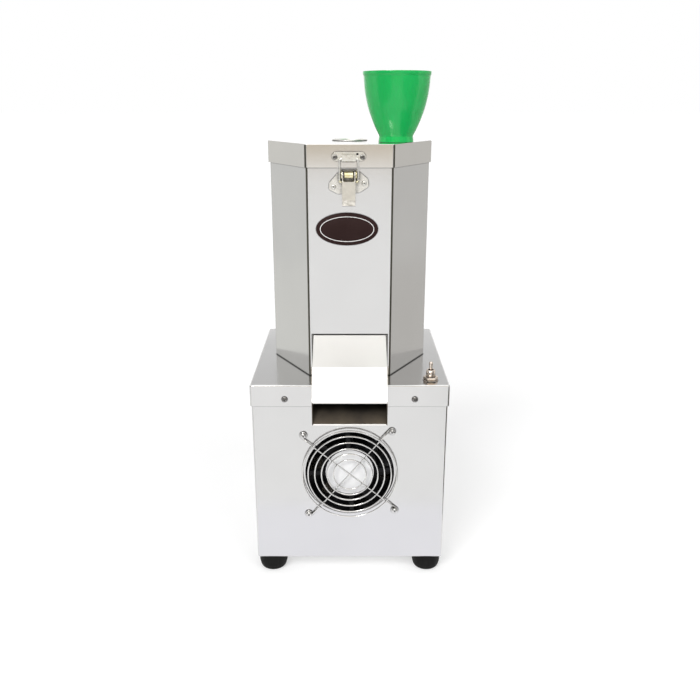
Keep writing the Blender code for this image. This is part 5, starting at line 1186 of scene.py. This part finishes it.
def plain_nodes():
    """The CAD solids that show as they are, in their own materials."""
    looks = {"motor_housing": MOTOR_PAINT, "motor_end_cap": MOTOR_PAINT, "motor_capacitor": WHITE_FILM,
             "capacitor_clip": BARE_STEEL, "gland_locknut": BLACK_PLASTIC, "chamber_floor": WORN_STEEL,
             "shaft_seal": BLACK_RUBBER, "motor_shaft": BARE_STEEL, "motor_bolt_1": BARE_STEEL,
             "motor_bolt_2": BARE_STEEL, "motor_bolt_3": BARE_STEEL, "motor_bolt_4": BARE_STEEL}
    for name, look in looks.items():
        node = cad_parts[name]
        node.data.materials.clear()
        node.data.materials.append(look)


# Studio

WHITE = (1.0, 1.0, 1.0, 1.0)


def bare_tree(thing):
    """The emptied node tree of a world or material."""
    thing.use_nodes = True
    thing.node_tree.nodes.clear()
    return thing.node_tree


def stage_look(thing, name):
    """A new material on a stage piece, as an emptied tree."""
    made = bpy.data.materials.new(name)
    thing.data.materials.append(made)
    return bare_tree(made)


def white_rays(tree):
    """One for camera, gloss and glass rays, and none for the rest."""
    rays = grow(tree, "ShaderNodeLightPath", {})
    first = grow(tree, "ShaderNodeMath", {0: rays["Is Camera Ray"], 1: rays["Is Glossy Ray"]}, operation="MAXIMUM")
    return grow(tree, "ShaderNodeMath", {0: first["Value"], 1: rays["Is Transmission Ray"]},
                operation="MAXIMUM")["Value"]


def studio_world():
    """A white background for camera, gloss and glass, and plain soft light for the rest."""
    world = bpy.data.worlds.new("studio")
    bpy.context.scene.world = world
    tree = bare_tree(world)
    soft, white = (grow(tree, "ShaderNodeBackground", {"Color": WHITE, "Strength": power})["Background"]
                   for power in (0.55, 1.0))
    both = grow(tree, "ShaderNodeMixShader", {"Fac": white_rays(tree), 1: soft, 2: white})["Shader"]
    grow(tree, "ShaderNodeOutputWorld", {"Surface": both})


def studio_floor():
    """A wide pale floor that goes to white and keeps the machine's shadow."""
    floor = drawn("studio_floor", block(box_outline(40.0, 40.0), -0.0004, 0.0))
    tree = stage_look(floor, "pale_floor")
    matt = grow(tree, "ShaderNodeBsdfDiffuse", {"Color": (0.62, 0.62, 0.62, 1.0)})["BSDF"]
    share = grow(tree, "ShaderNodeMath", {0: white_rays(tree), 1: 0.45}, operation="MULTIPLY")["Value"]
    glow = grow(tree, "ShaderNodeEmission", {"Color": WHITE, "Strength": share})["Emission"]
    both = grow(tree, "ShaderNodeAddShader", {0: matt, 1: glow})["Shader"]
    grow(tree, "ShaderNodeOutputMaterial", {"Surface": both})


def grey_card(name, corners, level):
    """A grey card that only gloss sees, to give the bright sheet its tones."""
    shape = bmesh.new()
    shape.faces.new([shape.verts.new(corner) for corner in corners])
    card = drawn(name, shape)
    tree = stage_look(card, name + "_tone")
    glow = grow(tree, "ShaderNodeEmission", {"Color": (*level, 1.0), "Strength": 1.0})["Emission"]
    grow(tree, "ShaderNodeOutputMaterial", {"Surface": glow})
    card.visible_camera = False
    card.visible_diffuse = False
    card.visible_transmission = False
    card.visible_volume_scatter = False
    card.visible_shadow = False


def upright_card(name, start, end, low, high, level):
    """A card standing over a line on the floor."""
    (x, y), (u, v) = start, end
    grey_card(name, [(x, y, low), (u, v, low), (u, v, high), (x, y, high)], level)


def level_card(name, x_low, x_high, y_low, y_high, z, level):
    """A card lying level."""
    grey_card(name, [(x_low, y_low, z), (x_high, y_low, z), (x_high, y_high, z), (x_low, y_high, z)], level)


def studio_cards():
    floor, ceiling = 0.002, 1.6
    level_card("left_floor_card", -4.0, -0.45, -0.1, 4.0, floor, (0.8, 0.8, 0.77))
    level_card("right_floor_card", 0.45, 4.0, -0.1, 4.0, floor, (0.61, 0.595, 0.57))
    upright_card("left_rear_card", (-1.6, 0.2), (-1.6, 3.0), 0.01, 2.2, (0.75, 0.75, 0.73))
    upright_card("right_rear_card", (1.6, 0.2), (1.6, 3.0), 0.01, 2.2, (0.65, 0.64, 0.62))
    upright_card("rear_card", (-3.0, 2.4), (3.0, 2.4), 0.88, 2.2, (0.65, 0.65, 0.65))
    upright_card("low_rear_card", (-1.5, 2.35), (1.5, 2.35), 0.5, 0.86, (1.3, 1.3, 1.3))
    for side, low, high, level in ((-1, -0.9, -0.24, (0.9, 0.9, 0.9)), (1, 0.24, 0.9, (0.1, 0.095, 0.09))):
        upright_card("deep_card", (side * 0.55, -1.6), (side * 0.95, -0.3), 0.01, 1.3, (0.32, 0.32, 0.315))
        level_card("side_floor_card", low, high, -0.75, -0.085, floor, level)
    level_card("near_floor_card", -0.16, 0.16, -0.27, -0.11, floor, (1.07, 1.07, 1.12))
    upright_card("camera_side_card", (-0.35, -1.25), (0.35, -1.25), 0.42, 1.05, (0.68, 0.595, 0.475))
    level_card("front_ceiling_card", -0.45, 0.45, -1.5, -0.45, ceiling, (1.6, 1.6, 1.59))
    level_card("middle_ceiling_card", -1.2, 1.2, -0.45, 0.2, ceiling, (1.02, 1.02, 1.01))
    level_card("rear_ceiling_card", -0.35, 0.35, 0.2, 1.3, ceiling, (2.05, 2.05, 2.02))


def studio_lamps():
    for name, turn, power, angle in (("key_lamp", (50.0, 0.0, -28.0), 1.55, 25.0),
                                     ("fill_lamp", (58.0, 0.0, 42.0), 0.8, 40.0)):
        data = bpy.data.lights.new(name, "SUN")
        data.energy = power
        data.angle = radians(angle)
        linked(name, data).rotation_euler = [radians(a) for a in turn]


def photograph_camera():
    data = bpy.data.cameras.new("camera")
    data.sensor_width = 36.0
    data.lens = 38.98
    data.clip_start = 0.01
    data.clip_end = 100.0
    camera = linked("camera", data)
    camera.location = (0.000335, -0.925904, 0.564078)
    camera.rotation_euler = (pi / 2 - 0.316, 0.0, 0.0)
    bpy.context.scene.camera = camera


photograph_camera()
studio_world()
studio_floor()
studio_cards()
studio_lamps()
bpy.context.scene.view_settings.view_transform = "Standard"

cabinet_shell()
vent_rims()
cabinet_cover()
cabinet_screws()
rubber_feet()
fan_housing()
fan_wheel()
hub_disc()
wire_guard()
fan_bolts()
cable_gland()
toggle()
tower()
turning_parts()
chute()
lid_cap()
rear_hinge()
latch_plates()
latch_mount()
latch_handle()
blank_badge()
measuring_cup()
plain_nodes()
